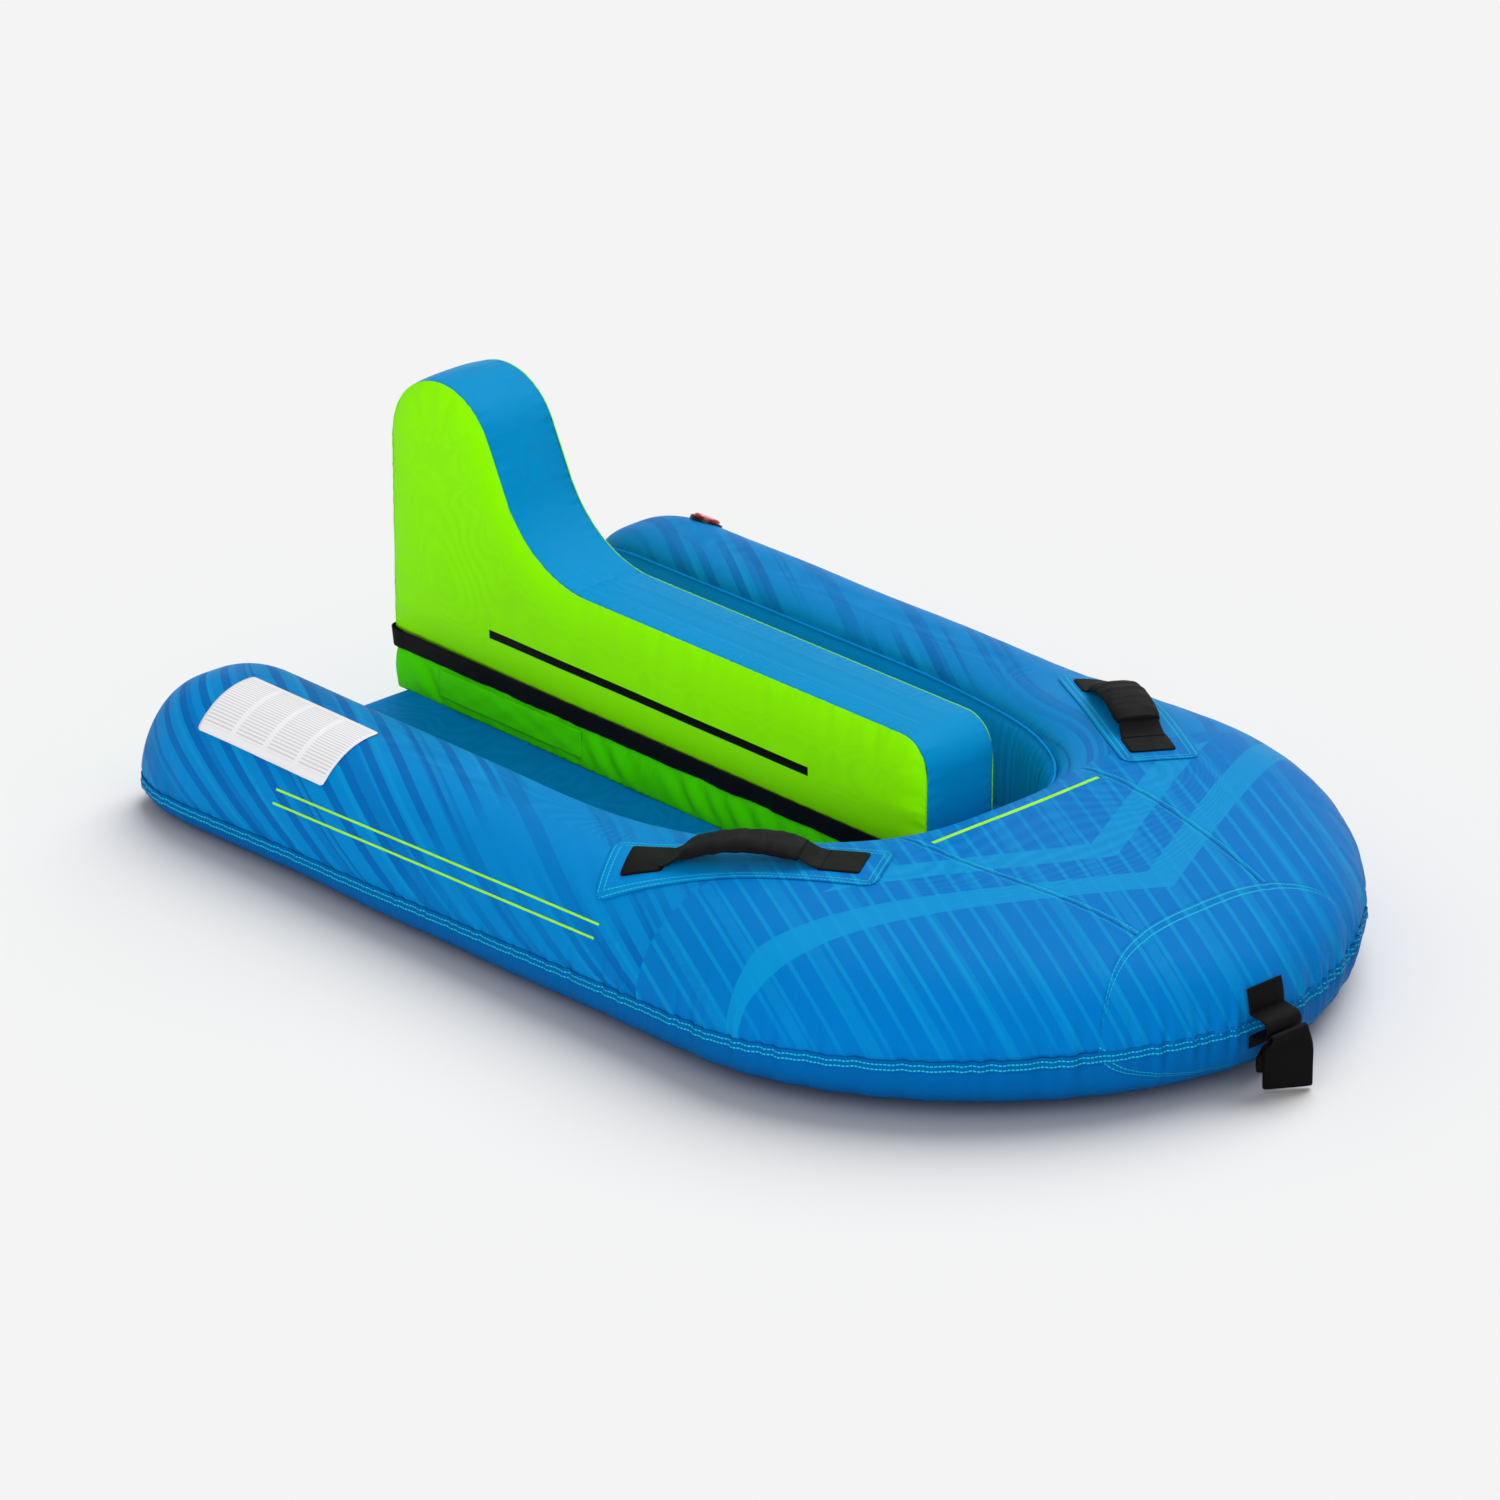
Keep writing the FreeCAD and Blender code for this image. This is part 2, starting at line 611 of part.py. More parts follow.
def make_zip_hardware():
    rear = size("seat_rear") + 1.3
    level = size("zip_level") - 7
    slider = body("seat_zip_slider")
    sketch = plane_sketch(slider, "slider_plan", "XY_Plane", rectangle(-38, rear + 0.2, -26, rear + 3.2), level - 4)
    pad(slider, sketch, "8")
    face, far = rear + 3.2, rear + 8.6
    bridge = polyline([(face - 0.4, level - 4), (far, level - 4), (far, level + 4), (face - 0.4, level + 4),
                       (face - 0.4, level + 2.8), (far - 1.4, level + 2.8), (far - 1.4, level - 2.8),
                       (face - 0.4, level - 2.8)])
    arch = plane_sketch(slider, "slider_bridge", "YZ_Plane", bridge, PULL_X)
    pad(slider, arch, "2", True)
    pull = body("seat_zip_pull")
    half, ring = 4.5, 2.0
    outline = rectangle(PULL_X - half, level - 0.8, PULL_X + half, level + PULL_LENGTH)
    outline += rectangle(PULL_X - ring, level + 0.8, PULL_X + ring, level + 5.8)
    sketch = plane_sketch(pull, "pull_face", "XZ_Plane", outline, -(face + 2.0))
    pad(pull, sketch, "1.4", True)
    tape = doc.addObject("Part::Box", "hull_zip_tape")
    tape.Length, tape.Width, tape.Height = 26, 430, 1.2
    tape.Placement = Placement(Vector(-13, 150, 4.75), Rotation())
    keep("hull_zip_tape", tape)
    slider = doc.addObject("Part::Box", "hull_zip_slider")
    slider.Length, slider.Width, slider.Height = 9, 12, 2.2
    slider.Placement = Placement(Vector(-4.5, 560, 2.4), Rotation())
    keep("hull_zip_slider", slider)
    pull = doc.addObject("Part::Box", "hull_zip_pull")
    pull.Length, pull.Width, pull.Height = 6, 24, 1.0
    pull.Placement = Placement(Vector(-3, 534, 1.3), Rotation())
    keep("hull_zip_pull", pull)


# ---------------------------------------------------------------- valves
VALVE_X = 355
VALVE_Y = 555
VALVE_RIM = 2.6


def valve_placement():
    crest_x = size("cockpit_half_width") + (size("hull_half_width") - size("cockpit_half_width")) * CREST_SHARE
    reach = size("hull_half_width") - crest_x
    seam = seam_height(VALVE_Y)
    rise = size("tube_height") - seam
    share = (VALVE_X - crest_x) / reach
    height = seam + rise * math.sqrt(1 - share * share)
    lean = math.degrees(math.atan2(share / reach, math.sqrt(1 - share * share) / rise))
    return Placement(Vector(VALVE_X, VALVE_Y, height), Rotation(Vector(0, 1, 0), lean))


def valve_cutter(radius):
    tool = Part.makeCylinder(radius, 60, Vector(0, 0, -30))
    tool.Placement = valve_placement()
    return tool


def turned(label, name, points, placement):
    piece = body(label)
    sketch = plane_sketch(piece, name, "XZ_Plane", polyline(points))
    revolve(piece, sketch)
    piece.Placement = placement
    return piece


def make_hull_valve():
    place = valve_placement()
    flange = size("valve_radius")
    stem = size("valve_stem_radius")
    neck = flange - 3
    outline = [(11, -17), (stem + 0.25, -17), (stem + 0.25, -20), (neck, -20), (neck, VALVE_RIM), (11, VALVE_RIM)]
    corners = [Vector(x, 0, z) for x, z in outline]
    wall = Part.Face(Part.makePolygon(corners + corners[:1])).revolve(Vector(), Vector(0, 0, 1), 360)
    collar = Part.makeCylinder(flange, VALVE_RIM + 4, Vector(0, 0, -4))
    collar = collar.cut(Part.makeCylinder(neck - 2, VALVE_RIM + 6, Vector(0, 0, -5)))
    wall.Placement = place
    collar.Placement = place
    feature("hull_valve_body", biggest(wall.fuse(collar.cut(patch_under))))
    turned("hull_valve_stem", "stem_wall",
           [(0, -25), (10, -25), (10, -21.5), (stem, -20.2), (stem, -8), (6.5, -8), (6.5, -6), (0, -6)], place)
    turned("hull_valve_cap", "cap_wall",
           [(0, 0.8), (10.5, 0.8), (10.5, 2.8), (size("valve_cap_radius"), 2.8),
            (size("valve_cap_radius"), 5.2), (13, 6.6), (0, 7.4)], place)
    cap = made[-1][1]
    tongue = plane_sketch(cap, "tongue_plan", "XY_Plane", rectangle(-21, -4, -13, 4), 2.8)
    pad(cap, tongue, "1.2")
    feature("hull_valve_spring", coil_spring(4.6, 0.45, 3.6, 8.0, -16.5), place)


def coil_spring(radius, wire, turns, height, base):
    steps = 36
    points = []
    for step in range(steps + 1):
        share = step / steps
        angle = 2 * math.pi * turns * share
        points.append(Vector(radius * math.cos(angle), radius * math.sin(angle), base + height * share))
    curve = Part.BSplineCurve()
    curve.interpolate(points)
    along = curve.tangent(curve.FirstParameter)[0]
    profile = Part.Wire([Part.Circle(points[0], along, wire).toShape()])
    return Part.Wire([curve.toShape()]).makePipeShell([profile], True, True)


def make_seat_valve():
    place = Placement(Vector(-size("seat_half_width") + 1.4, 430, 68), Rotation(Vector(0, 1, 0), -90))
    turned("seat_valve_body", "seat_valve_wall",
           [(7, -12), (10, -12), (10, -0.3), (13, 0.2), (13, 1.1), (7, 1.1)], place)
    turned("seat_valve_cap", "seat_cap_wall", [(0, -4), (6.6, -4), (6.6, 1.3), (9, 1.3), (9, 1.9), (0, 1.9)], place)


def make_all():
    make_hull_covers()
    make_rim_and_seam()
    make_bladders()
    make_floor()
    make_patches()
    make_handles()
    make_tow_point()
    make_seat()
    make_seat_foot()
    make_zip_hardware()
    make_hull_valve()
    make_seat_valve()


def export_all():
    os.makedirs("parts", exist_ok=True)
    doc.recompute()
    trouble = []
    for item in doc.Objects:
        if "Invalid" in item.State or "Error" in item.State:
            trouble.append(item.Name)
    for label, obj in made:
        shape = obj.Shape
        if shape.isNull() or not shape.isValid() or not shape.Solids:
            trouble.append(label)
            continue
        box = shape.BoundBox
        print("%-24s %9.1f cm3 solids %d  x %.1f..%.1f y %.1f..%.1f z %.1f..%.1f" % (
            label, shape.Volume / 1000, len(shape.Solids), box.XMin, box.XMax, box.YMin, box.YMax,
            box.ZMin, box.ZMax))
        shape.exportStep("parts/%s.step" % label)
    print("pieces", len(made), "trouble", trouble)
    if trouble:
        raise RuntimeError("bad shapes: %s" % trouble)


make_all()
export_all()
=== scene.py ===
import math
import bpy
import bmesh
import numpy as np
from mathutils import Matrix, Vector


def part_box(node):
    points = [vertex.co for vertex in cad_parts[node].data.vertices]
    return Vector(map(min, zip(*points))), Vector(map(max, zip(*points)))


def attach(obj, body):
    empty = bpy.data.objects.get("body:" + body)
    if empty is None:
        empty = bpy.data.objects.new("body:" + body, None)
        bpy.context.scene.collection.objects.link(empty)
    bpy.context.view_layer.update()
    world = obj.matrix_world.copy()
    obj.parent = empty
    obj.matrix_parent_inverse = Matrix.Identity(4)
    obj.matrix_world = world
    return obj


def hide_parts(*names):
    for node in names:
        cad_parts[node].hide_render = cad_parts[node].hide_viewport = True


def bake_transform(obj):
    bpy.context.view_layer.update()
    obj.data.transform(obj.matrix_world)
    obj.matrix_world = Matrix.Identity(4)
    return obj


# Towable tube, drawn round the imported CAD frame.  Metres, nose toward -Y, up is +Z, keel plane X = 0.
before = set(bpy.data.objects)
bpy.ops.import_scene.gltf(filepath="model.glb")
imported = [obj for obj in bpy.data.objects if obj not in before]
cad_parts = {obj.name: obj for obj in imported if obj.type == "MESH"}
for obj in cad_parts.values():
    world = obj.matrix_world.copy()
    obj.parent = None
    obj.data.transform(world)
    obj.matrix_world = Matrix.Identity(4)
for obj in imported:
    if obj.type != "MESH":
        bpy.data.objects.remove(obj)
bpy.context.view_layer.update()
MM = 0.001


def node_box(node):
    low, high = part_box(node)
    return np.array(low), np.array(high)


# ---------------------------------------------------------------- sizes worked out from the frame
TOP_HIGH = node_box("top_cover")[1]
FLOOR_HIGH = node_box("floor_panel")[1]
GUSSET_LOW, GUSSET_HIGH = node_box("seat_gusset")
FLAP_LOW, FLAP_HIGH = node_box("seat_zip_flap")
SKIRT_LOW = node_box("seat_skirt")[0]
ANCHOR_LOW, ANCHOR_HIGH = node_box("tow_anchor")
LABEL_LOW, LABEL_HIGH = node_box("rear_label")

HALF_WIDTH = 411 * MM
HULL_REAR = TOP_HIGH[1] + 2 * MM
NOSE_START = -270 * MM
NOSE_LENGTH = 378 * MM
WELL_HALF = 236 * MM
WELL_BEND = 150 * MM
WELL_LENGTH = 395 * MM
REAR_ROUND = 110 * MM
TUBE_TOP = 150 * MM
NOSE_TOP = 179 * MM
FLOOR_TOP = FLOOR_HIGH[2]
FLOOR_REAR = FLOOR_HIGH[1]
KEEL_SINK = 3 * MM
CREST_SHARE = 0.46
NOSE_CREST_SHARE = 0.12
OUTER_START = 0.45
BOW_POWER = 1.75
WELL_POWER = 2.4
# the middle nose panel: its start, its length and its half widths at both ends
PANEL_START = -300 * MM
PANEL_LENGTH = 330 * MM
PANEL_BASE = 128 * MM
PANEL_TIP = 84 * MM
# the print changes along a slanting line across the hull
FORE_START = 235 * MM
FORE_SLANT = 0.15
# superellipse powers of the section, on the tubes and at the nose
KEEL_POWERS = (3.0, 4.2)
OUTER_POWERS = (2.05, 3.0)
INNER_POWERS = (4.0, 2.8)


# ---------------------------------------------------------------- small numeric helpers
def smooth(share):
    share = np.clip(share, 0, 1)
    return share * share * (3 - 2 * share)


def mix(first, last, share):
    return first + (last - first) * share


def ripple(position, seed, shortest, longest, waves=7):
    """Seeded sum of sines along a line: a repeatable random wave of size about one."""
    rng = np.random.default_rng(seed)
    total = np.zeros_like(np.asarray(position, float))
    for _ in range(waves):
        length = rng.uniform(shortest, longest)
        total = total + np.sin(2 * math.pi * position / length + rng.uniform(0, 2 * math.pi))
    return total / math.sqrt(waves)


def lumps(points, seed, shortest, longest, waves=10):
    """Seeded random wave through space, for soft uneven cloth."""
    rng = np.random.default_rng(seed)
    total = np.zeros(points.shape[:-1])
    for _ in range(waves):
        direction = rng.normal(size=3)
        direction /= np.linalg.norm(direction)
        length = rng.uniform(shortest, longest)
        total += np.sin(points @ direction * 2 * math.pi / length + rng.uniform(0, 2 * math.pi))
    return total / math.sqrt(waves)


def unit(vectors):
    return vectors / (np.linalg.norm(vectors, axis=-1, keepdims=True) + 1e-12)


def run_over(points, axis=0):
    """Distance travelled along a line, or along one axis of a grid, of points."""
    steps = np.linalg.norm(np.diff(points, axis=axis), axis=-1)
    start = np.zeros_like(np.take(steps, [0], axis=axis))
    return np.concatenate([start, np.cumsum(steps, axis=axis)], axis)


def gathers(run, away, seed, lengths, fade, height):
    """Puckers along a sewn line that fade out over a distance away from it."""
    return ripple(run, seed, *lengths) * np.exp(-away / fade) * height


def groove(away, width, depth):
    """How far a sewn line pulls the cloth in."""
    return depth * np.exp(-(away / width) ** 2)


def tangents(path, closed=False):
    if closed:
        return unit(np.roll(path, -1, axis=0) - np.roll(path, 1, axis=0))
    return unit(np.gradient(path, axis=0))


def box_round(angles, wide_power, high_power):
    """Unit outline of a rounded box: superellipse points (wide, high) at the angles."""
    wide, high = np.cos(angles), np.sin(angles)
    return np.sign(wide) * np.abs(wide) ** wide_power, np.sign(high) * np.abs(high) ** high_power


# ---------------------------------------------------------------- mesh helpers
RIBBON_SIDES = 14


def new_object(name, vertices, faces, material=None, smooth_shade=True):
    mesh = bpy.data.meshes.new(name)
    mesh.from_pydata([tuple(v) for v in vertices], [], faces)
    mesh.validate()
    mesh.update()
    piece = bpy.data.objects.new(name, mesh)
    bpy.context.scene.collection.objects.link(piece)
    if material is not None:
        mesh.materials.append(material)
    if smooth_shade:
        mesh.polygons.foreach_set("use_smooth", [True] * len(mesh.polygons))
    return piece


def settle(piece, body, *nodes):
    """Lets a piece move with a body and stand for the CAD nodes."""
    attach(piece, body)
    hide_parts(*nodes)


def grid_faces(rows, columns, close_rows=False, close_columns=False):
    faces = []
    for i in range(rows if close_rows else rows - 1):
        for j in range(columns if close_columns else columns - 1):
            a, b = i * columns + j, i * columns + (j + 1) % columns
            c, d = ((i + 1) % rows) * columns + (j + 1) % columns, ((i + 1) % rows) * columns + j
            faces.append((a, b, c, d))
    return faces


def closed_tube(name, points, material, closed=False):
    """A skin round rows of points, capped at both ends unless it closes on itself."""
    count, sides = points.shape[:2]
    faces = grid_faces(count, sides, closed, True)
    if not closed:
        faces.append(tuple(range(sides)))
        faces.append(tuple((count - 1) * sides + k for k in range(sides))[::-1])
    return new_object(name, points.reshape(-1, 3), faces, material)


def write_uv(piece, uv):
    layer = piece.data.uv_layers.get("cloth") or piece.data.uv_layers.new(name="cloth")
    flat = uv.reshape(-1, 2)
    index = np.empty(len(piece.data.loops), int)
    piece.data.loops.foreach_get("vertex_index", index)
    layer.data.foreach_set("uv", flat[index].astype(np.float32).ravel())


def thicken(piece, thickness):
    """Gives a sheet thickness, grown inward from its outer face."""
    solid = piece.modifiers.new("thickness", "SOLIDIFY")
    solid.thickness = thickness
    solid.offset = -1


def sheet(name, points, material, thickness=1.0 * MM, uv=None, close_rows=False, outward=1):
    """A grid of points as cloth with real thickness."""
    rows, columns = points.shape[:2]
    faces = grid_faces(rows, columns, close_rows)
    if outward < 0:
        faces = [face[::-1] for face in faces]
    piece = new_object(name, points.reshape(-1, 3), faces, material)
    if uv is not None:
        write_uv(piece, uv)
    thicken(piece, thickness)
    return piece


def tube(name, path, radius, material, node_slot, closed=False, sides=10):
    """A round cord along a path."""
    path = np.asarray(path, float)
    tangent = tangents(path, closed)
    side = np.cross(tangent, np.array([0, 0, 1.0]))
    side /= np.linalg.norm(side, axis=1, keepdims=True) + 1e-9
    lift = np.cross(side, tangent)
    angles = np.linspace(0, 2 * math.pi, sides, endpoint=False)
    ring = side[:, None] * np.cos(angles)[None, :, None] + lift[:, None] * np.sin(angles)[None, :, None]
    return closed_tube(name, path[:, None] + ring * radius, material, closed)


def ribbon(name, path, across, normal, width, thick, material, closed=False):
    """A flat woven strap: a path with, at each step, its width direction and its face normal."""
    path, across, normal = (np.asarray(item, float) for item in (path, across, normal))
    wide, high = box_round(np.arange(RIBBON_SIDES) * 2 * math.pi / RIBBON_SIDES, 0.35, 0.6)
    width = np.broadcast_to(np.asarray(width, float), (len(path),))
    points = (path[:, None] + across[:, None] * (width[:, None] * wide[None] / 2)[..., None]
              + normal[:, None] * (thick * high[None] / 2)[..., None])
    return closed_tube(name, points, material, closed)


def recalculate(piece):
    mesh = bmesh.new()
    mesh.from_mesh(piece.data)
    bmesh.ops.recalc_face_normals(mesh, faces=mesh.faces)
    mesh.to_mesh(piece.data)
    mesh.free()


def face_outward(piece, outward):
    """Makes the faces of an open sheet look along the given directions, one for each vertex."""
    recalculate(piece)
    normals = np.empty(len(piece.data.vertices) * 3)
    piece.data.vertices.foreach_get("normal", normals)
    outward = np.broadcast_to(outward, (len(normals) // 3, 3))
    if (normals.reshape(-1, 3) * outward).sum() < 0:
        piece.data.flip_normals()


# ---------------------------------------------------------------- node materials by plain arithmetic
class Value:
    """A number inside a material, so that patterns are written as ordinary arithmetic."""

    def __init__(self, tree, socket):
        self.tree, self.socket = tree, socket

    def _math(self, operation, *others):
        step = self.tree.nodes.new("ShaderNodeMath")
        step.operation = operation
        for slot, other in zip(step.inputs, (self,) + others):
            if isinstance(other, Value):
                self.tree.links.new(other.socket, slot)
            else:
                slot.default_value = float(other)
        return Value(self.tree, step.outputs[0])

    def __add__(self, other): return self._math("ADD", other)
    def __sub__(self, other): return self._math("SUBTRACT", other)
    def __mul__(self, other): return self._math("MULTIPLY", other)
    def __truediv__(self, other): return self._math("DIVIDE", other)
    __radd__, __rmul__ = __add__, __mul__

    def __rsub__(self, other):
        return self._math("MULTIPLY", -1) + other

    def absolute(self): return self._math("ABSOLUTE")
    def power(self, other): return self._math("POWER", other)
    def fraction(self): return self._math("FRACT")
    def low(self, other): return self._math("MINIMUM", other)
    def high(self, other): return self._math("MAXIMUM", other)
    def sine(self): return self._math("SINE")
    def angle(self, other): return self._math("ARCTAN2", other)
    def clamp(self): return self._math("MINIMUM", 1).high(0)

    def inside(self, edge=0.0, softness=0.4 * MM):
        """One where the value is below the edge, zero above, with a thin soft border."""
        return ((edge - self) / softness + 0.5).clamp()


class Paint:
    """Builds one material: colour layers, roughness and bump."""

    def __init__(self, name, color, roughness=0.5, shine=0.12, metallic=0.0, coat=0.0):
        self.material = bpy.data.materials.new(name)
        self.material.use_nodes = True
        self.tree = self.material.node_tree
        self.shader = self.tree.nodes["Principled BSDF"]
        self.shader.inputs["Metallic"].default_value = metallic
        self.shader.inputs["Coat Weight"].default_value = coat
        self.shader.inputs["Specular IOR Level"].default_value = shine
        self.shader.inputs["Specular Tint"].default_value = (*[min(1.0, 0.25 + part) for part in color], 1)
        self.places = self.tree.nodes.new("ShaderNodeTexCoord")
        self.x, self.y, self.z = self.split(self.places.outputs["Object"])
        self.color = self.solid(color)
        self.rough = self.number(roughness)
        self.bump = self.number(0)

    def link(self, source, target):
        self.tree.links.new(source, target)

    def node(self, kind, **values):
        """A new shader node with the given properties and, by their names, inputs."""
        step = self.tree.nodes.new(kind)
        for name, value in values.items():
            if hasattr(step, name):
                setattr(step, name, value)
            else:
                step.inputs[name.title()].default_value = value
        return step

    def split(self, source):
        step = self.node("ShaderNodeSeparateXYZ")
        self.link(source, step.inputs[0])
        return [Value(self.tree, socket) for socket in step.outputs]

    def number(self, value):
        step = self.tree.nodes.new("ShaderNodeValue")
        step.outputs[0].default_value = value
        return Value(self.tree, step.outputs[0])

    def solid(self, color):
        step = self.tree.nodes.new("ShaderNodeRGB")
        step.outputs[0].default_value = (*color, 1)
        return step.outputs[0]

    def cloth_uv(self):
        """The two measures, in metres, that a sheet's cloth map holds."""
        step = self.node("ShaderNodeUVMap", uv_map="cloth")
        return self.split(step.outputs[0])[:2]

    def noise(self, scale, detail=2.0, seed=0.0):
        step = self.node("ShaderNodeTexNoise", noise_dimensions="4D", w=seed, scale=scale, detail=detail)
        self.link(self.places.outputs["Object"], step.inputs["Vector"])
        return Value(self.tree, step.outputs["Fac"])

    def layer(self, mask, color):
        """Lays a colour over what is there, where the mask is one."""
        step = self.node("ShaderNodeMix", data_type="RGBA")
        self.link(mask.socket, step.inputs["Factor"])
        self.link(self.color, step.inputs["A"])
        step.inputs["B"].default_value = (*color, 1)
        self.color = step.outputs["Result"]

    def shade(self, factor):
        """Multiplies the colour by a value."""
        step = self.node("ShaderNodeMix", data_type="RGBA", blend_type="MULTIPLY", factor=1)
        join = self.tree.nodes.new("ShaderNodeCombineColor")
        for slot in join.inputs:
            self.link(factor.socket, slot)
        self.link(self.color, step.inputs["A"])
        self.link(join.outputs[0], step.inputs["B"])
        self.color = step.outputs["Result"]

    def finish(self, depth=1.0, distance=0.4 * MM):
        self.link(self.color, self.shader.inputs["Base Color"])
        self.link(self.rough.clamp().socket, self.shader.inputs["Roughness"])
        step = self.node("ShaderNodeBump", strength=depth, distance=distance)
        self.link(self.bump.socket, step.inputs["Height"])
        self.link(step.outputs[0], self.shader.inputs["Normal"])
        return self.material


def weave(paint, pitch=0.9 * MM, depth=0.25):
    """Fine plain weave from three crossed waves, so it shows on faces of any direction."""
    turn = 2 * math.pi / pitch
    flat = (paint.x * turn).sine() * (paint.y * turn).sine()
    upright = (paint.z * turn).sine() * ((paint.x + paint.y) * turn).sine()
    paint.bump = paint.bump + (flat + upright) * depth


def coated_cloth(name, color, roughness=0.42, shine=0.04, worn=0.10):
    """Coated woven nylon: soft shine, faint weave, slow colour change and small creases."""
    paint = Paint(name, color, roughness, shine)
    slow = paint.noise(5.0, 3.0)
    paint.shade(slow * (2 * worn) + (1 - worn))
    paint.rough = paint.rough + (paint.noise(38.0, 2.0, seed=2.0) - 0.5) * 0.14
    paint.bump = paint.bump + paint.noise(55.0, 4.0, seed=4.0) * 0.9 + paint.noise(16.0, 2.0, seed=7.0) * 1.6
    weave(paint)
    return paint


# ---------------------------------------------------------------- the hull as one surface: place(w, t)
# w runs round the hull, port positive: 0 nose tip, 1 front of the straight tubes, 2 to 3 round the tube end.
# t runs round the tube: 0 keel, 1 outer seam, 2 crest, 3 cockpit wall at seam level, 4 keel again.
def bow(angle, power):
    return np.abs(np.cos(angle)) ** (2 / power), np.abs(np.sin(angle)) ** (2 / power)


def crest_height(y):
    return mix(TUBE_TOP, NOSE_TOP, smooth((0.040 - y) / 0.400))


def seam_height(y):
    return y * -0.030 + 48 * MM


def plan_lines(reach):
    """Outer and inner plan points of the slice at a distance round the hull, with nose share and swell."""
    share = 1 - np.clip(reach, 0, 1)
    straight = np.clip(reach - 1, 0, 1)
    end_angle = np.clip(reach - 2, 0, 0.9999) * math.pi / 2
    bend = np.clip((share - OUTER_START) / (1 - OUTER_START), 0, 1)
    across, along = bow(bend * math.pi / 2, BOW_POWER)
    run = mix(WELL_BEND, NOSE_START, np.clip(share / OUTER_START, 0, 1))
    outer_y = np.where(bend > 0, NOSE_START - NOSE_LENGTH * along, run)
    well_across, well_along = bow(share * math.pi / 2, WELL_POWER)
    inner_y = WELL_BEND - WELL_LENGTH * well_along
    back_y = straight * (HULL_REAR - REAR_ROUND - WELL_BEND) + REAR_ROUND * np.sin(end_angle)
    outer = np.stack([HALF_WIDTH * across, outer_y + back_y], -1)
    inner = np.stack([WELL_HALF * well_across, inner_y + back_y], -1)
    return outer, inner, smooth(bend), np.cos(end_angle) ** 0.5


def rim_turn(w):
    """The t of the rim line, a little outside the cockpit outline."""
    outer, inner, nose_share, _ = plan_lines(np.abs(w))
    crest_run = np.linalg.norm(outer - inner, axis=-1) * mix(CREST_SHARE, NOSE_CREST_SHARE, nose_share)
    travelled = 1 - 12 * MM / crest_run
    return 2 + np.arcsin(travelled ** (mix(*INNER_POWERS, nose_share) / 2)) / (math.pi / 2)


def place(w, t):
    w, t = np.broadcast_arrays(np.asarray(w, float), np.asarray(t, float))
    outer, inner, nose_share, swell = plan_lines(np.abs(w))
    gap = outer - inner
    crest = inner + gap * mix(CREST_SHARE, NOSE_CREST_SHARE, nose_share)[..., None]
    keel = (outer + inner) / 2
    seam = seam_height(outer[..., 1])
    top = crest_height(crest[..., 1])
    bottom = np.full_like(seam, -KEEL_SINK)
    turn = np.mod(t, 4)
    quarter = np.floor(turn)
    part = (turn - quarter) * math.pi / 2
    keel_power = mix(*KEEL_POWERS, nose_share)
    legs = ((keel, bottom, outer, seam, keel_power, True),
            (outer, seam, crest, top, mix(*OUTER_POWERS, nose_share), False),
            (crest, top, inner, seam, mix(*INNER_POWERS, nose_share), True),
            (inner, seam, keel, bottom, keel_power, False))
    plan = np.zeros_like(outer)
    height = np.zeros_like(seam)
    for index, (start, start_z, end, end_z, power, flat_first) in enumerate(legs):
        along, across = bow(part, power)
        move = across if flat_first else 1 - along
        rise = 1 - along if flat_first else across
        here = quarter == index
        plan = np.where(here[..., None], start + (end - start) * move[..., None], plan)
        height = np.where(here, start_z + (end_z - start_z) * rise, height)
    plan = keel + (plan - keel) * swell[..., None]
    height = seam + (height - seam) * swell
    side = np.where(w < 0, -1.0, 1.0)
    return np.stack([plan[..., 0] * side, plan[..., 1], height], -1)


def outward_normal(w, t):
    step = 1e-3
    along = place(w + step, t) - place(w - step, t)
    round_tube = place(w, t + step) - place(w, t - step)
    return unit(np.cross(along, round_tube))


LONG_W = np.linspace(-2.999, 2.999, 1601)
LONG_A = run_over(place(LONG_W, 1.0))
LONG_A -= np.interp(0, LONG_W, LONG_A)


def seam_run(w):
    """Distance along the outer seam from the nose tip, port positive."""
    return np.interp(w, LONG_W, LONG_A)


def at_seam_run(distance):
    return np.interp(distance, LONG_A, LONG_W)


def seam_offset(w, distance):
    """The t at a signed distance from the outer seam, measured over the skin, positive upward."""
    distance = np.broadcast_to(np.asarray(distance, float), w.shape)
    steps = np.linspace(0, 0.8, 160)[None] * np.sign(distance + 1e-9)[:, None]
    run = run_over(place(w[:, None], 1.0 + steps), 1)
    turns = [np.interp(abs(far), reach, step) for far, reach, step in zip(distance, run, steps)]
    return 1.0 + np.array(turns)


def panel_line(y):
    """Half width of the middle nose panel at a given y."""
    return mix(PANEL_BASE, PANEL_TIP, smooth((PANEL_START - y) / PANEL_LENGTH))


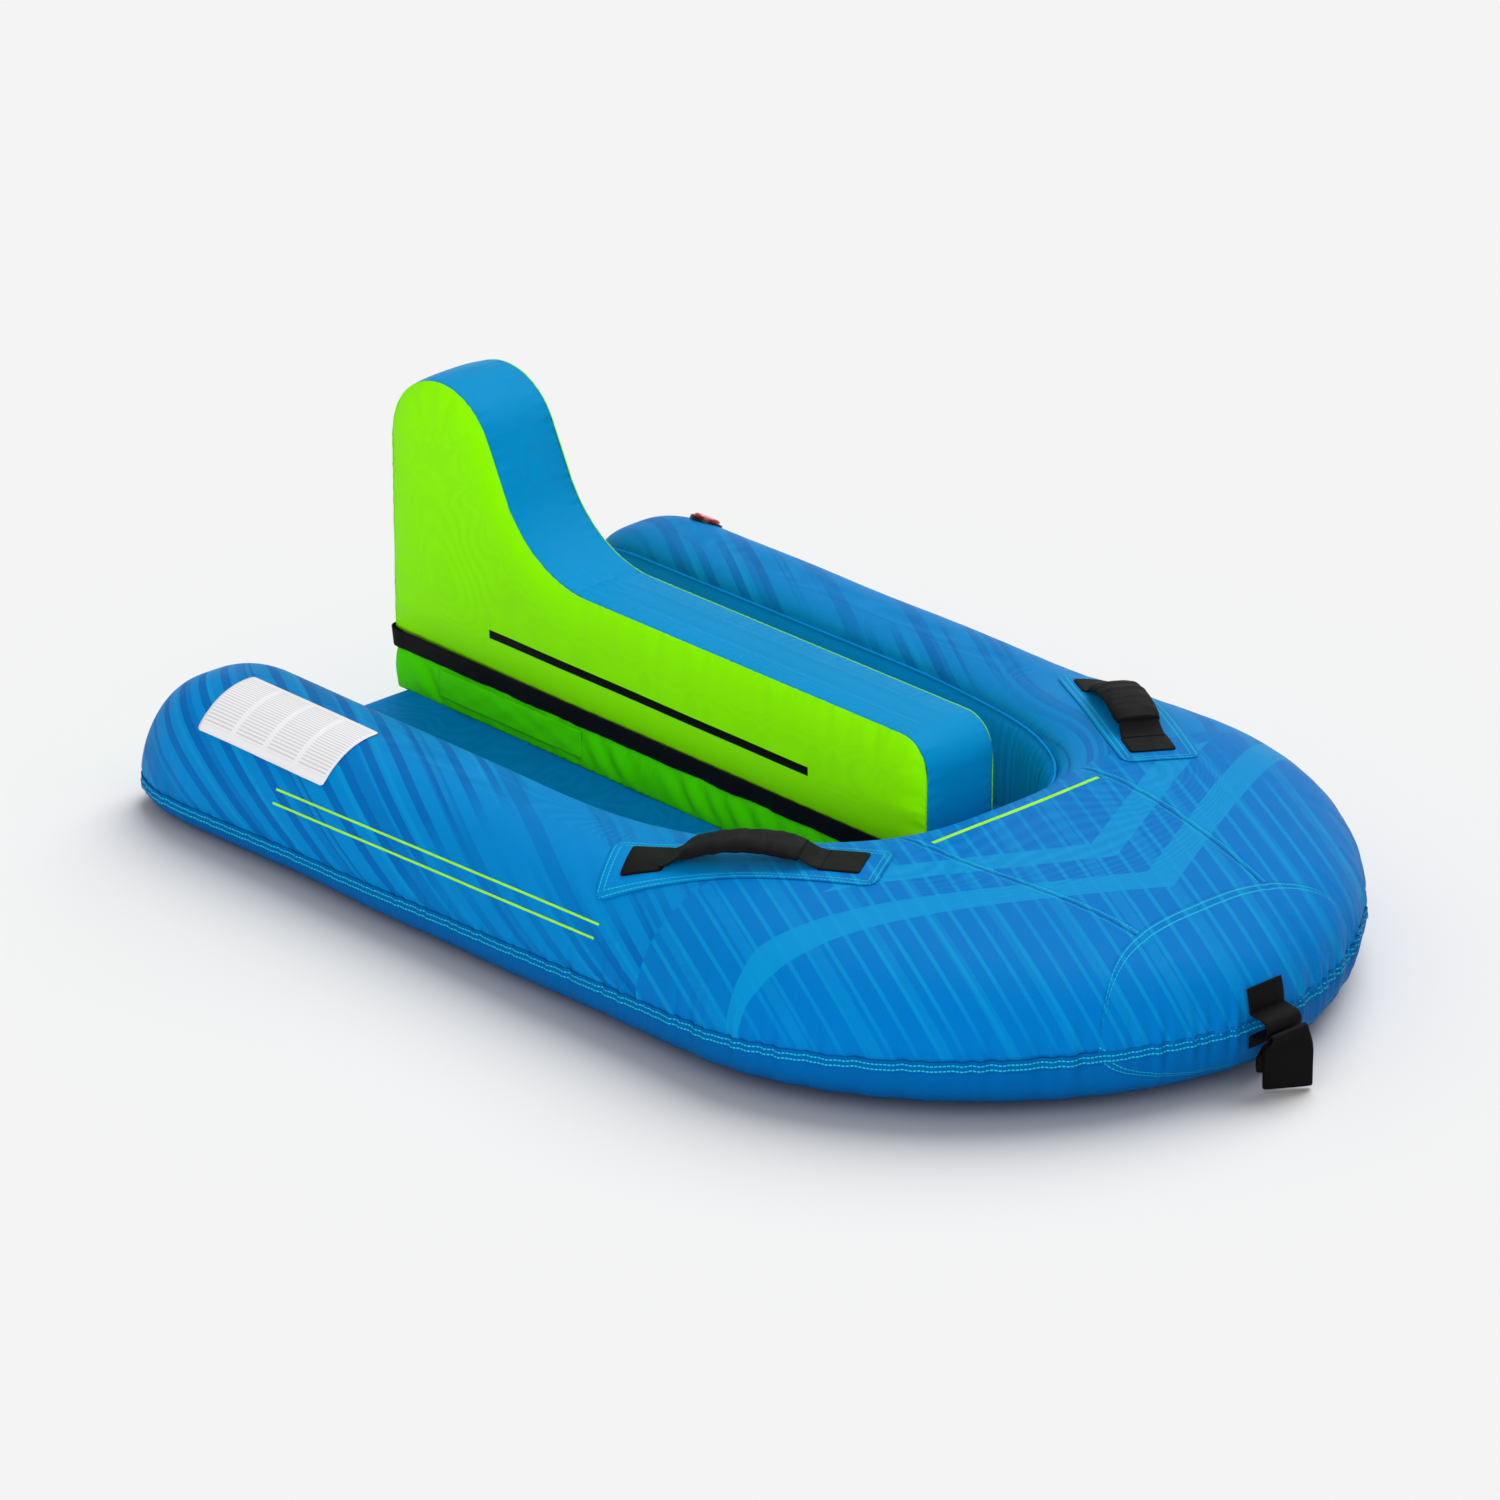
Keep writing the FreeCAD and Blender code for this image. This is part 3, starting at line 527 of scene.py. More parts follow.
def hull_surface(w, t, lift=0.0):
    """The hull skin with its gathers: short puckers run away from every sewn line and fade out."""
    w, t = np.broadcast_arrays(np.asarray(w, float), np.asarray(t, float))
    base = place(w, t)
    normal = outward_normal(w, t)
    run = seam_run(w)
    from_seam = np.linalg.norm(base - place(w, 1.0), axis=-1)
    from_rim = np.linalg.norm(base - place(w, rim_turn(w)), axis=-1)
    nose = smooth((1.0 - np.abs(w)) / 0.55)
    corner = np.exp(-((np.abs(w) - 0.42) / 0.28) ** 2)
    calm_end = smooth((3.0 - np.abs(w)) / 0.25)
    push = gathers(run, from_seam, 3, (0.011, 0.026), mix(0.014, 0.024, nose), mix(0.9, 1.7, nose) * MM)
    push += gathers(run, from_seam, 5, (0.030, 0.070), 0.050, mix(0.5, 1.3, nose) * MM)
    push += gathers(run, from_rim, 8, (0.008, 0.018), 0.012, mix(0.35, 0.9, corner) * MM)
    inside = smooth((t - rim_turn(w)) / 0.05)
    push += inside * corner * ripple(run, 12, 0.014, 0.034) * 3.0 * MM * smooth(from_rim / 0.02)
    push -= groove(from_seam, 6 * MM, 2.0 * MM)
    push -= groove(from_rim, 6 * MM, 1.6 * MM)
    over = (from_seam > 12 * MM) & (t > 1) & (base[..., 1] < NOSE_START)
    from_panel = np.abs(np.abs(base[..., 0]) - panel_line(base[..., 1]))
    push += np.where(over, gathers(base[..., 1], from_panel, 15, (0.012, 0.030), 0.014, 0.5 * MM), 0)
    push -= np.where(over, groove(from_panel, 4 * MM, 1.3 * MM), 0)
    push += lumps(base, 21, 0.11, 0.30) * 0.7 * MM
    push = push * calm_end + lift
    skin = base + normal * push[..., None]
    skin[..., 2] = np.maximum(skin[..., 2], 0.0004 + lift * 0.3)
    return skin


def hull_sheet(name, w, low_t, high_t, columns, material, thickness, lift=0.0, uv=True):
    """Part of the hull skin as a grid: one row per w, from low_t to high_t round the tube."""
    share = np.linspace(0, 1, columns)
    low_t, high_t = (np.broadcast_to(np.asarray(item, float), w.shape) for item in (low_t, high_t))
    t = low_t[:, None] + (high_t - low_t)[:, None] * share[None]
    points = hull_surface(np.broadcast_to(w[:, None], t.shape), t, lift)
    plain = place(w[:, None], t)
    middle = int(np.argmin(np.abs(w)))
    run = run_over(plain)
    run = run - run[middle]
    girth = run_over(plain, 1)
    piece = sheet(name, points, material, thickness, np.stack([run, girth], -1) if uv else None)
    face_outward(piece, outward_normal(np.broadcast_to(w[:, None], t.shape), t).reshape(-1, 3))
    return piece


def hull_rows(pitch=4.5 * MM):
    total = LONG_A[-1] - LONG_A[0]
    return at_seam_run(np.linspace(LONG_A[0], LONG_A[-1], int(total / pitch)))


# ---------------------------------------------------------------- colours (linear)
BLUE_TUBE = (0.000, 0.215, 0.560)
BLUE_STRIPE = (0.000, 0.115, 0.400)
BLUE_NOSE = (0.000, 0.170, 0.520)
BLUE_LIGHT = (0.002, 0.280, 0.600)
BLUE_BELOW = (0.000, 0.120, 0.390)
BLUE_WELL = (0.000, 0.250, 0.740)
BLUE_SEAT = (0.000, 0.262, 0.560)
LIME = (0.260, 0.900, 0.000)
LIME_SKIRT = (0.065, 0.740, 0.000)
LIME_PRINT = (0.330, 0.860, 0.010)
THREAD_CYAN = (0.020, 0.600, 0.700)
SEAM_SHADE = (0.000, 0.030, 0.120)
INK = (0.003, 0.003, 0.003)
WEB_BLACK = (0.0045, 0.0043, 0.0048)


# ---------------------------------------------------------------- marks drawn in materials
def stripes(phase, pitch, width, shift=0.0, softness=0.7 * MM):
    return (((phase / pitch + shift).fraction() - 0.5).absolute() * pitch).inside(width / 2, softness)


def stitch_row(paint, distance, run, half=0.45 * MM, pitch=4.2 * MM):
    """A row of short stitches at a distance of zero, with the small pinch they leave in the cloth."""
    dash = (((run / pitch).fraction() - 0.5).absolute() * pitch).inside(pitch * 0.36, 0.5 * MM)
    row = distance.absolute().inside(half, 0.3 * MM)
    paint.layer(row * dash * 0.85, THREAD_CYAN)
    paint.bump = paint.bump - distance.absolute().inside(1.3 * MM, 2.0 * MM) * 1.4 + row * dash * 1.2


def fore_mask(paint):
    """One ahead of the slanting line where the print changes from tube to fore."""
    return (paint.y + FORE_START + paint.x * FORE_SLANT).inside(0, 0.5 * MM)


def slow_fade(paint):
    return ((paint.noise(3.2, 1.0, seed=11.0) - 0.36) * 5.0).clamp()


def level_band(value, level, half):
    """One within a half width of a level."""
    return ((value - level).absolute() - half).inside()


def print_tube_stripes(paint, phase):
    """Slanting dark bands over the tubes, straight on the flat cloth."""
    fade = slow_fade(paint)
    tube = 1 - fore_mask(paint)
    paint.layer(stripes(phase, 0.027, 0.0095) * tube * fade * 0.85, BLUE_STRIPE)
    paint.layer(stripes(phase, 0.071, 0.0160, 0.3) * tube * 0.45, BLUE_STRIPE)
    paint.layer(stripes(phase, 0.046, 0.0050, 0.15) * tube * fade * 0.55, BLUE_LIGHT)


def print_fore_stripes(paint):
    """Thin pale lines over the darker fore."""
    phase = paint.x * 0.807 - paint.y * 0.408 + paint.z * 0.426
    fade = slow_fade(paint)
    fore = fore_mask(paint)
    paint.layer(fore, BLUE_NOSE)
    paint.layer(stripes(phase, 0.0205, 0.0042) * fore * fade * 0.75, BLUE_LIGHT)
    paint.layer(stripes(phase, 0.0580, 0.0110, 0.6) * fore * 0.35, BLUE_LIGHT)


def print_chevrons(paint):
    """Two broad pale chevrons across the fore of the hull, pointing at the nose tip."""
    fold = paint.y * -1 + paint.x.absolute() * 0.5
    fore = (paint.y - PANEL_START).inside()
    for level in (0.42, 0.50):
        paint.layer(level_band(fold, level, 18 * MM) * fore * 0.8, BLUE_LIGHT)


def print_rim_line(paint):
    """One straight line across the cover in front of the cockpit."""
    front = WELL_BEND - WELL_LENGTH - 50 * MM
    paint.layer(level_band(paint.y, front, 2.5 * MM) * level_band(paint.x, 0, WELL_HALF / 2), LIME_PRINT)


def print_side_lines(paint, girth):
    """Two thin level lines along the outer side of each tube's straight run."""
    along = level_band(paint.y, WELL_BEND, 250 * MM)
    outer_side = (300 * MM - paint.x.absolute()).inside()
    for level in (45 * MM, 60 * MM):
        paint.layer(level_band(girth, level, 1.2 * MM) * along * outer_side, LIME_PRINT)


def cover_material():
    paint = coated_cloth("printed_cover", BLUE_TUBE, roughness=0.40)
    girth = paint.cloth_uv()[1]
    side = (paint.x / MM).clamp() * 2 - 1
    print_tube_stripes(paint, paint.y * side * 0.5 + girth * 0.866)
    print_fore_stripes(paint)
    print_chevrons(paint)
    print_rim_line(paint)
    print_side_lines(paint, girth)
    level = ((paint.y * -1 + PANEL_START) / PANEL_LENGTH).clamp()
    half = (level * level * (3 - level * 2)) * (PANEL_TIP - PANEL_BASE) + PANEL_BASE
    from_panel = paint.x.absolute() - half
    fore_only = (paint.y - (NOSE_START + 8 * MM)).inside()
    paint.layer(level_band(from_panel, 0, 0.7 * MM) * fore_only * 0.75, SEAM_SHADE)
    for away in (4.5 * MM, -4.5 * MM):
        stitch_row(paint, (from_panel - away) + (1 - fore_only), paint.y)
    return paint.finish()


def plain_material(name, color, **more):
    return coated_cloth(name, color, **more).finish()


def tape_material():
    paint = coated_cloth("seam_tape_cloth", BLUE_BELOW, roughness=0.45)
    run, girth = paint.cloth_uv()
    for level in (2.2 * MM, 7.2 * MM):
        stitch_row(paint, girth - level, run, 0.7 * MM)
    return paint.finish()


def patch_material(name):
    """Doubling patch with two rows of stitches inside its edge; its map holds the distance from the edge."""
    paint = coated_cloth(name, BLUE_TUBE, roughness=0.42)
    print_fore_stripes(paint)
    paint.layer((paint.z - seam_height(paint.y)).inside(), BLUE_BELOW)
    distance, run = paint.cloth_uv()
    for level in (3.5 * MM, 9.5 * MM):
        stitch_row(paint, distance - level, run, 0.6 * MM)
    return paint.finish()


def webbing_material(name="webbing_black", color=WEB_BLACK):
    paint = Paint(name, color, 0.65, 0.10)
    turn = 2 * math.pi / (1.7 * MM)
    ribs = ((paint.x + paint.y) * turn).sine() * (paint.z * turn * 0.6 + paint.x * turn * 0.3).sine()
    paint.bump = ribs * 0.5 + paint.noise(300.0, 2.0) * 0.5
    paint.shade(paint.noise(30.0, 3.0, seed=5.0) * 0.5 + 0.8)
    paint.rough = paint.rough + (paint.noise(60.0) - 0.5) * 0.2
    return paint.finish(depth=0.9, distance=0.35 * MM)


def hard_material(name, color, roughness, metallic=0.0, coat=0.0):
    paint = Paint(name, color, roughness, 0.4, metallic, coat)
    paint.shade(paint.noise(40.0, 3.0) * 0.16 + 0.92)
    paint.rough = paint.rough + (paint.noise(120.0, 3.0, seed=3.0) - 0.5) * 0.12
    paint.bump = paint.noise(420.0, 2.0, seed=8.0) * 0.25
    return paint.finish(depth=0.3, distance=0.15 * MM)


def lime_material():
    paint = coated_cloth("lime_cloth", LIME, roughness=0.36, worn=0.06)
    level = float(FLAP_HIGH[2]) + 45 * MM
    middle = float(GUSSET_LOW[1] + GUSSET_HIGH[1]) / 2
    length = float(GUSSET_HIGH[1] - GUSSET_LOW[1]) * 0.6
    paint.layer(level_band(paint.z, level, 5 * MM) * level_band(paint.y, middle, length / 2), INK)
    return paint.finish()


def label_material():
    """Pale film with four blocks of plain ruled lines."""
    paint = Paint("label_film", (0.70, 0.69, 0.71), 0.38, 0.2)
    low, high = [float(v) for v in LABEL_LOW], [float(v) for v in LABEL_HIGH]
    block = ((paint.y - low[1]) / (high[1] - low[1]) * 4).fraction()
    rows = ((paint.x / (3.2 * MM)).fraction() - 0.5).absolute().inside(0.20, 0.1)
    in_block = (block - 0.5).absolute().inside(0.43, 0.02)
    half = (high[0] - low[0]) / 2 - 5 * MM
    in_width = (paint.x - (low[0] + high[0]) / 2).absolute().inside(half, 0.5 * MM)
    paint.layer(rows * in_block * in_width * 0.45, (0.30, 0.30, 0.32))
    paint.bump = paint.noise(24.0, 3.0, seed=6.0) * 2.0
    paint.rough = paint.rough + (paint.noise(50.0) - 0.5) * 0.1
    return paint.finish()


def net_material():
    paint = Paint("drain_net", (0.012, 0.018, 0.022), 0.6)
    shaded_holes = stripes(paint.x + paint.y, 2.6 * MM, 1.3 * MM) * stripes(paint.x - paint.y, 2.6 * MM, 1.3 * MM)
    # the holes are painted almost black: painted shade in the openings; the same mask also sinks them as bump
    paint.layer(shaded_holes, (0.001, 0.001, 0.001))
    paint.bump = shaded_holes * -2.0
    return paint.finish()


def make_materials():
    return {
        "cover": cover_material(),
        "below": plain_material("plain_cover", BLUE_BELOW),
        "wall": plain_material("wall_cloth", BLUE_WELL, worn=0.14),
        "floor": plain_material("floor_cloth", BLUE_WELL, worn=0.12),
        "tape": tape_material(),
        "patch": patch_material("patch_cloth"),
        "gusset": plain_material("gusset_cloth", BLUE_SEAT, roughness=0.34),
        "lime": lime_material(),
        "skirt": plain_material("skirt_cloth", LIME_SKIRT, worn=0.10),
        "web": webbing_material(),
        "tab": webbing_material("webbing_tab"),
        "handle_patch": patch_material("handle_patch_cloth"),
        "pad": webbing_material("grip_cloth", (0.0065, 0.0060, 0.0068)),
        "label": label_material(),
        "film": hard_material("bladder_film", (0.30, 0.32, 0.34), 0.35),
        "net": net_material(),
        "valve": hard_material("valve_black", (0.010, 0.010, 0.011), 0.34, coat=0.2),
        "red": hard_material("valve_red", (0.42, 0.008, 0.030), 0.22, coat=0.5),
        "zip": hard_material("zip_plastic", (0.010, 0.010, 0.010), 0.40),
        "steel": hard_material("spring_steel", (0.55, 0.55, 0.56), 0.28, metallic=1.0),
    }


# ---------------------------------------------------------------- hull pieces
TAPE_BELOW = 9 * MM
TAPE_ABOVE = 2.5 * MM
PATCH_REACH = 190 * MM
PATCH_ABOVE = 150 * MM
PATCH_BELOW = 45 * MM


def make_hull(paints):
    rows = hull_rows()
    rim = rim_turn(rows)
    top = hull_sheet("cover_top", rows, 1.0, rim, 78, paints["cover"], 1.0 * MM)
    settle(top, "hull", "top_cover", "hull_bladder")
    below = hull_sheet("cover_bottom", rows, 1.0, -0.72, 60, paints["below"], 0.8 * MM)
    settle(below, "hull", "bottom_cover")
    wall = hull_sheet("wall_cockpit", rows, rim, 3.30, 56, paints["wall"], 0.8 * MM)
    settle(wall, "hull", "cockpit_wall")
    tape = hull_sheet("tape_seam", rows, seam_offset(rows, -TAPE_BELOW), seam_offset(rows, TAPE_ABOVE), 8,
                      paints["tape"], 0.6 * MM, 1.6 * MM)
    settle(tape, "hull", "seam_tape")
    line = hull_surface(rows[6:-6], rim_turn(rows[6:-6]), 1.0 * MM)
    piping = tube("piping_rim", line, 1.7 * MM, paints["wall"], "wall_cloth")
    settle(piping, "hull", "rim_piping")
    return top


def make_nose_patch(paints):
    """Rounded doubling patch over the nose tip, mostly above the seam, with its lower end under it."""
    rows = at_seam_run(np.linspace(-PATCH_REACH, PATCH_REACH, 110))
    share = np.sqrt(np.clip(1 - (seam_run(rows) / PATCH_REACH) ** 2, 0, 1))
    above, below = PATCH_ABOVE * share + 1 * MM, PATCH_BELOW * share + 1 * MM
    patch = hull_sheet("patch_nose", rows, seam_offset(rows, -below), seam_offset(rows, above), 60,
                       paints["patch"], 0.5 * MM, 0.7 * MM, uv=False)
    across = np.linspace(0, 1, 60)[None] * (above + below)[:, None]
    edge = np.minimum(across, (above + below)[:, None] - across)
    write_uv(patch, np.stack([edge, seam_run(rows)[:, None] + edge * 0], -1))
    settle(patch, "hull", "nose_patch")


# ---------------------------------------------------------------- pieces laid on the hull from above
def drape(top, plan, lift):
    """Drops plan points on the finished cover and lifts them off along its normal."""
    from_above = []
    for x, y in plan.reshape(-1, 2):
        hit, spot, normal, _ = top.ray_cast(Vector((x, y, 0.5)), Vector((0, 0, -1)))
        if not hit:
            hit, spot, normal, _ = top.closest_point_on_mesh(Vector((x, y, 0.10)))
        if normal.z < 0:
            normal = -normal
        from_above.append(np.array(spot) + np.array(normal) * lift)
    return np.array(from_above).reshape(*plan.shape[:-1], 3)


def turned_rectangle(centre, turn, length, width, rows, columns, corner=0.0):
    """Plan points of a rectangle lying at an angle, with rounded corners."""
    u = np.linspace(-1, 1, rows)[:, None] * np.ones((1, columns))
    v = np.linspace(-1, 1, columns)[None] * np.ones((rows, 1))
    a, b = u * length / 2, v * width / 2
    if corner:
        over = np.clip(np.abs(a) - (length / 2 - corner), 0, corner) / corner
        under = np.clip(np.abs(b) - (width / 2 - corner), 0, corner) / corner
        pull = (1 - np.sqrt(1 - np.minimum(over * under, 1) * 0.55))
        a, b = a - np.sign(a) * pull * corner, b - np.sign(b) * pull * corner
    x = centre[0] + a * math.cos(turn) - b * math.sin(turn)
    y = centre[1] + a * math.sin(turn) + b * math.cos(turn)
    edge = np.minimum(length / 2 - np.abs(a), width / 2 - np.abs(b))
    run = np.where(length / 2 - np.abs(a) < width / 2 - np.abs(b), b, a)
    return np.stack([x, y], -1), np.stack([edge, run], -1)


HANDLE_X = 270 * MM
HANDLE_Y = -182 * MM
HANDLE_LENGTH = 206 * MM
HANDLE_TURN = math.radians(58.7)
HANDLE_PITCH = math.radians(6.8)
HANDLE_HEIGHT = 168.4 * MM
TAB_LENGTH = 44 * MM
GRIP_LENGTH = 124 * MM
WEB_WIDTH = 50 * MM
WEB_THICK = 2.2 * MM
HANDLE_RISE = 17 * MM


def handle_frame(side):
    """Centre and axes (along, across, up) of a carrying handle."""
    turn = side * HANDLE_TURN + (math.pi if side > 0 else 0)
    around = np.array([[math.cos(turn), -math.sin(turn), 0], [math.sin(turn), math.cos(turn), 0], [0, 0, 1]])
    tilt = -HANDLE_PITCH
    lean = np.array([[math.cos(tilt), 0, math.sin(tilt)], [0, 1, 0], [-math.sin(tilt), 0, math.cos(tilt)]])
    axes = around @ lean
    return np.array([side * HANDLE_X, HANDLE_Y, HANDLE_HEIGHT]), axes[:, 0], axes[:, 1], axes[:, 2]


def arch_height(along):
    span = HANDLE_LENGTH - TAB_LENGTH - 4 * MM
    radius = (span * span / 4 + HANDLE_RISE ** 2) / (2 * HANDLE_RISE)
    return np.sqrt(radius ** 2 - np.minimum(along ** 2, (0.6 * radius) ** 2)) + HANDLE_RISE - radius + 4 * MM


def grip_mesh(name, side, paints):
    """Padded sleeve: thick in the middle, narrower at its ends, edges folded under."""
    centre, along, across, up = handle_frame(side)
    stations = np.linspace(-GRIP_LENGTH / 2, GRIP_LENGTH / 2, 60)
    share = stations / (GRIP_LENGTH / 2)
    rise = arch_height(stations) + WEB_THICK / 2
    slope = np.gradient(rise, stations)
    normal = np.cross(unit(along[None] + up[None] * slope[:, None]), across[None])
    normal *= np.sign(normal @ up)[:, None]
    path = centre + along * stations[:, None] + up * rise[:, None]
    angles = np.linspace(0, 2 * math.pi, 40, endpoint=False)
    rim = np.exp(-((1 - np.abs(share)) / 0.10) ** 2)
    width = (24.5 - 1.5 * rim) * MM
    wide, high = box_round(angles, 0.55, 0.75)
    thick = (5.6 - 2.4 * rim) * MM
    flat = np.stack(np.broadcast_arrays(stations[:, None], wide[None] * 0.02, high[None] * 0.01), -1)
    crease = (ripple(stations, 33, 0.010, 0.028)[:, None] + lumps(flat, 34 + side, 0.012, 0.05)) * 0.5 * MM
    sag = (np.abs(wide) ** 3)[None] * -2.2 * MM
    points = (path[:, None] + across[None, None] * (wide[None] * width[:, None])[..., None]
              + normal[:, None] * (high[None] * (thick[:, None] + crease) + sag)[..., None])
    piece = closed_tube("grip_" + name, points, paints["pad"])
    recalculate(piece)
    settle(piece, "handle_" + name, "handle_grip_" + name, "handle_strap_" + name)


def tail_mesh(name, side, end, top, paints):
    """Webbing from the grip's end down to its tab on the cover."""
    centre, along, across, up = handle_frame(side)
    start = end * (GRIP_LENGTH / 2 - 4 * MM)
    finish = end * (HANDLE_LENGTH / 2 - TAB_LENGTH / 2 + 4 * MM)
    stations = np.linspace(start, finish, 14)
    arch = centre + along * stations[:, None] + up * (arch_height(stations) + WEB_THICK / 2)[:, None]
    ground = drape(top, arch[:, :2], 2.6 * MM)
    share = smooth(np.linspace(0, 1, 14))[:, None]
    path = arch * (1 - share) + ground * share
    sideways = np.tile(across, (14, 1))
    normal = np.cross(tangents(path), sideways)
    normal *= np.sign(normal @ up)[:, None]
    width = mix(42 * MM, 47 * MM, share[:, 0])
    place_name = "tail_%s_%s" % ("front" if end > 0 else "rear", name)
    piece = ribbon(place_name, path, sideways, normal, width, WEB_THICK, paints["web"])
    recalculate(piece)
    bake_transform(piece)
    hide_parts("handle_" + place_name)


def tabs_mesh(name, side, top, paints):
    """The two sewn-down webbing tabs as one piece."""
    centre, along = handle_frame(side)[:2]
    turn = math.atan2(along[1], along[0])
    parts = []
    for end in (-1, 1):
        middle = centre[:2] + along[:2] * end * HANDLE_LENGTH / 2
        plan, uv = turned_rectangle(middle, turn, TAB_LENGTH, WEB_WIDTH * 0.97, 16, 16, 3 * MM)
        parts.append((drape(top, plan, 3.0 * MM), uv))
    points = np.concatenate([part[0].reshape(-1, 3) for part in parts])
    faces = grid_faces(16, 16) + [tuple(k + 256 for k in face) for face in grid_faces(16, 16)]
    piece = new_object("tabs_" + name, points, faces, paints["tab"])
    write_uv(piece, np.concatenate([part[1].reshape(-1, 2) for part in parts]))
    recalculate(piece)
    thicken(piece, WEB_THICK)
    settle(piece, "hull", "handle_tabs_" + name)


def patch_mesh(name, side, top, paints):
    centre, along, across = handle_frame(side)[:3]
    turn = math.atan2(along[1], along[0])
    inward = 4 * MM * across[:2] * np.sign(across[0] * side)
    length = HANDLE_LENGTH + 2 * TAB_LENGTH
    plan, uv = turned_rectangle(centre[:2] + inward, turn, length, 84 * MM, 90, 30, 14 * MM)
    points = drape(top, plan, 0.8 * MM)
    piece = sheet("patch_handle_" + name, points, paints["handle_patch"], 0.5 * MM, uv)
    settle(piece, "hull", "handle_patch_" + name)


def make_handles(top, paints):
    for name, side in (("port", 1), ("starboard", -1)):
        patch_mesh(name, side, top, paints)
        tabs_mesh(name, side, top, paints)
        grip_mesh(name, side, paints)
        for end in (-1, 1):
            tail_mesh(name, side, end, top, paints)


def make_label(top, paints):
    middle = (LABEL_LOW[:2] + LABEL_HIGH[:2]) / 2
    size = LABEL_HIGH[:2] - LABEL_LOW[:2]
    plan, uv = turned_rectangle(middle, 0.0, size[0], size[1], 40, 46, 3 * MM)
    piece = sheet("label_rear", drape(top, plan, 0.9 * MM), paints["label"], 0.3 * MM, uv)
    settle(piece, "hull", "rear_label")


# ---------------------------------------------------------------- floor of the cockpit
def round_front(y, half, length):
    """Half width of a floor that narrows toward the cockpit's round front end."""
    turn = np.clip((WELL_BEND - y) / length, 0, 1)
    return half * np.maximum(1 - turn ** WELL_POWER, 0.0) ** (1 / WELL_POWER)


def make_floor(paints):
    """Taut cloth floor, rounded down at its open rear edge."""
    rows, columns = 170, 90
    front = WELL_BEND - WELL_LENGTH - 8 * MM
    along = np.linspace(front, FLOOR_REAR + 40 * MM, rows)
    bend = 22 * MM
    past = np.clip(along - (FLOOR_REAR - bend), 0, bend * math.pi / 2)
    down = np.clip(along - (FLOOR_REAR - bend) - bend * math.pi / 2, 0, 1)
    y = np.minimum(along, FLOOR_REAR - bend) + bend * np.sin(past / bend)
    z = FLOOR_TOP - bend * (1 - np.cos(past / bend)) - down
    half = round_front(y, WELL_HALF, WELL_LENGTH) + 1.5 * MM
    across = np.linspace(-1, 1, columns)
    x = half[:, None] * across[None]
    points = np.stack([x, y[:, None] + x * 0, z[:, None] + x * 0], -1)
    crown = (1 - across[None] ** 6) * 1.5 * MM
    waves = lumps(points, 41, 0.05, 0.16) * 0.8 * MM
    from_side = (1 - np.abs(across[None])) * half[:, None]
    waves += gathers(y[:, None], from_side, 42, (0.012, 0.03), 0.02, 1.2 * MM)
    points[..., 2] += (crown - 5.5 * MM + waves) * smooth((FLOOR_REAR - y[:, None]) / 0.03)
    piece = sheet("floor_cloth", points, paints["floor"], 0.8 * MM)
    face_outward(piece, np.array([0, 0, 1.0]))
    settle(piece, "hull", "floor_panel", "floor_bladder")


def make_bottom_panel(paints):
    low, high = node_box("bottom_panel")
    grid_y = np.linspace(low[1], high[1], 80)
    x = round_front(grid_y, high[0], WELL_BEND - low[1])[:, None] * np.linspace(-1, 1, 60)[None]
    points = np.stack([x, grid_y[:, None] + x * 0, x * 0 + low[2]], -1)
    points[..., 2] += lumps(points, 44, 0.06, 0.2) * 0.5 * MM
    piece = sheet("panel_bottom", points, paints["below"], 0.8 * MM)
    face_outward(piece, np.array([0, 0, -1.0]))
    settle(piece, "hull", "bottom_panel")


def make_small_cloths(paints):
    for name, node, paint, node_slot in (("net_drain", "drain_mesh", "net", "mesh"),
                                         ("tag_floor", "floor_tag", "label", "label_film"),
                                         ("tape_hull_zip", "hull_zip_tape", "web", "zip_plastic")):
        low, high = node_box(node)
        x = np.linspace(low[0], high[0], 18)[:, None] * np.ones((1, 40))
        y = np.linspace(low[1], high[1], 40)[None] * np.ones((18, 1))
        points = np.stack([x, y, x * 0 + high[2]], -1)
        points[..., 2] += lumps(points, 51, 0.015, 0.05) * 0.25 * MM
        piece = sheet(name, points, paints[paint], max(high[2] - low[2], 0.4 * MM))
        face_outward(piece, np.array([0, 0, 1.0]))
        settle(piece, "hull", node)


# ---------------------------------------------------------------- seat
SEAT_HALF = float(GUSSET_HIGH[0])
SEAT_FRONT = float(GUSSET_LOW[1])
SEAT_REAR = float(GUSSET_HIGH[1])
BACK_TOP = float(GUSSET_HIGH[2])
ZIP_LEVEL = float(GUSSET_LOW[2])
BENCH_TOP = 237 * MM
BACK_RADIUS = 82 * MM
BEND_RADIUS = 145 * MM
BEND_Y = 305 * MM
FRONT_RADIUS = 38 * MM
SIDE_BULGE = 11 * MM


def even_steps(points, pitch, closed=False):
    """The same line in steps of about one pitch, and the distance of each step."""
    run = run_over(points)
    even = np.linspace(0, run[-1], int(run[-1] / pitch), endpoint=not closed)
    return np.stack([np.interp(even, run, points[:, 0]), np.interp(even, run, points[:, 1])], -1), even


def arc(centre, radius, first, last, pitch):
    count = max(int(abs(last - first) * radius / pitch), 2)
    angles = np.linspace(first, last, count)
    return np.stack([centre[0] + radius * np.cos(angles), centre[1] + radius * np.sin(angles)], -1)


def run_line(start, end, pitch):
    count = max(int(np.linalg.norm(np.array(end) - np.array(start)) / pitch), 2)
    share = np.linspace(0, 1, count)[:, None]
    return np.array(start) * (1 - share) + np.array(end) * share


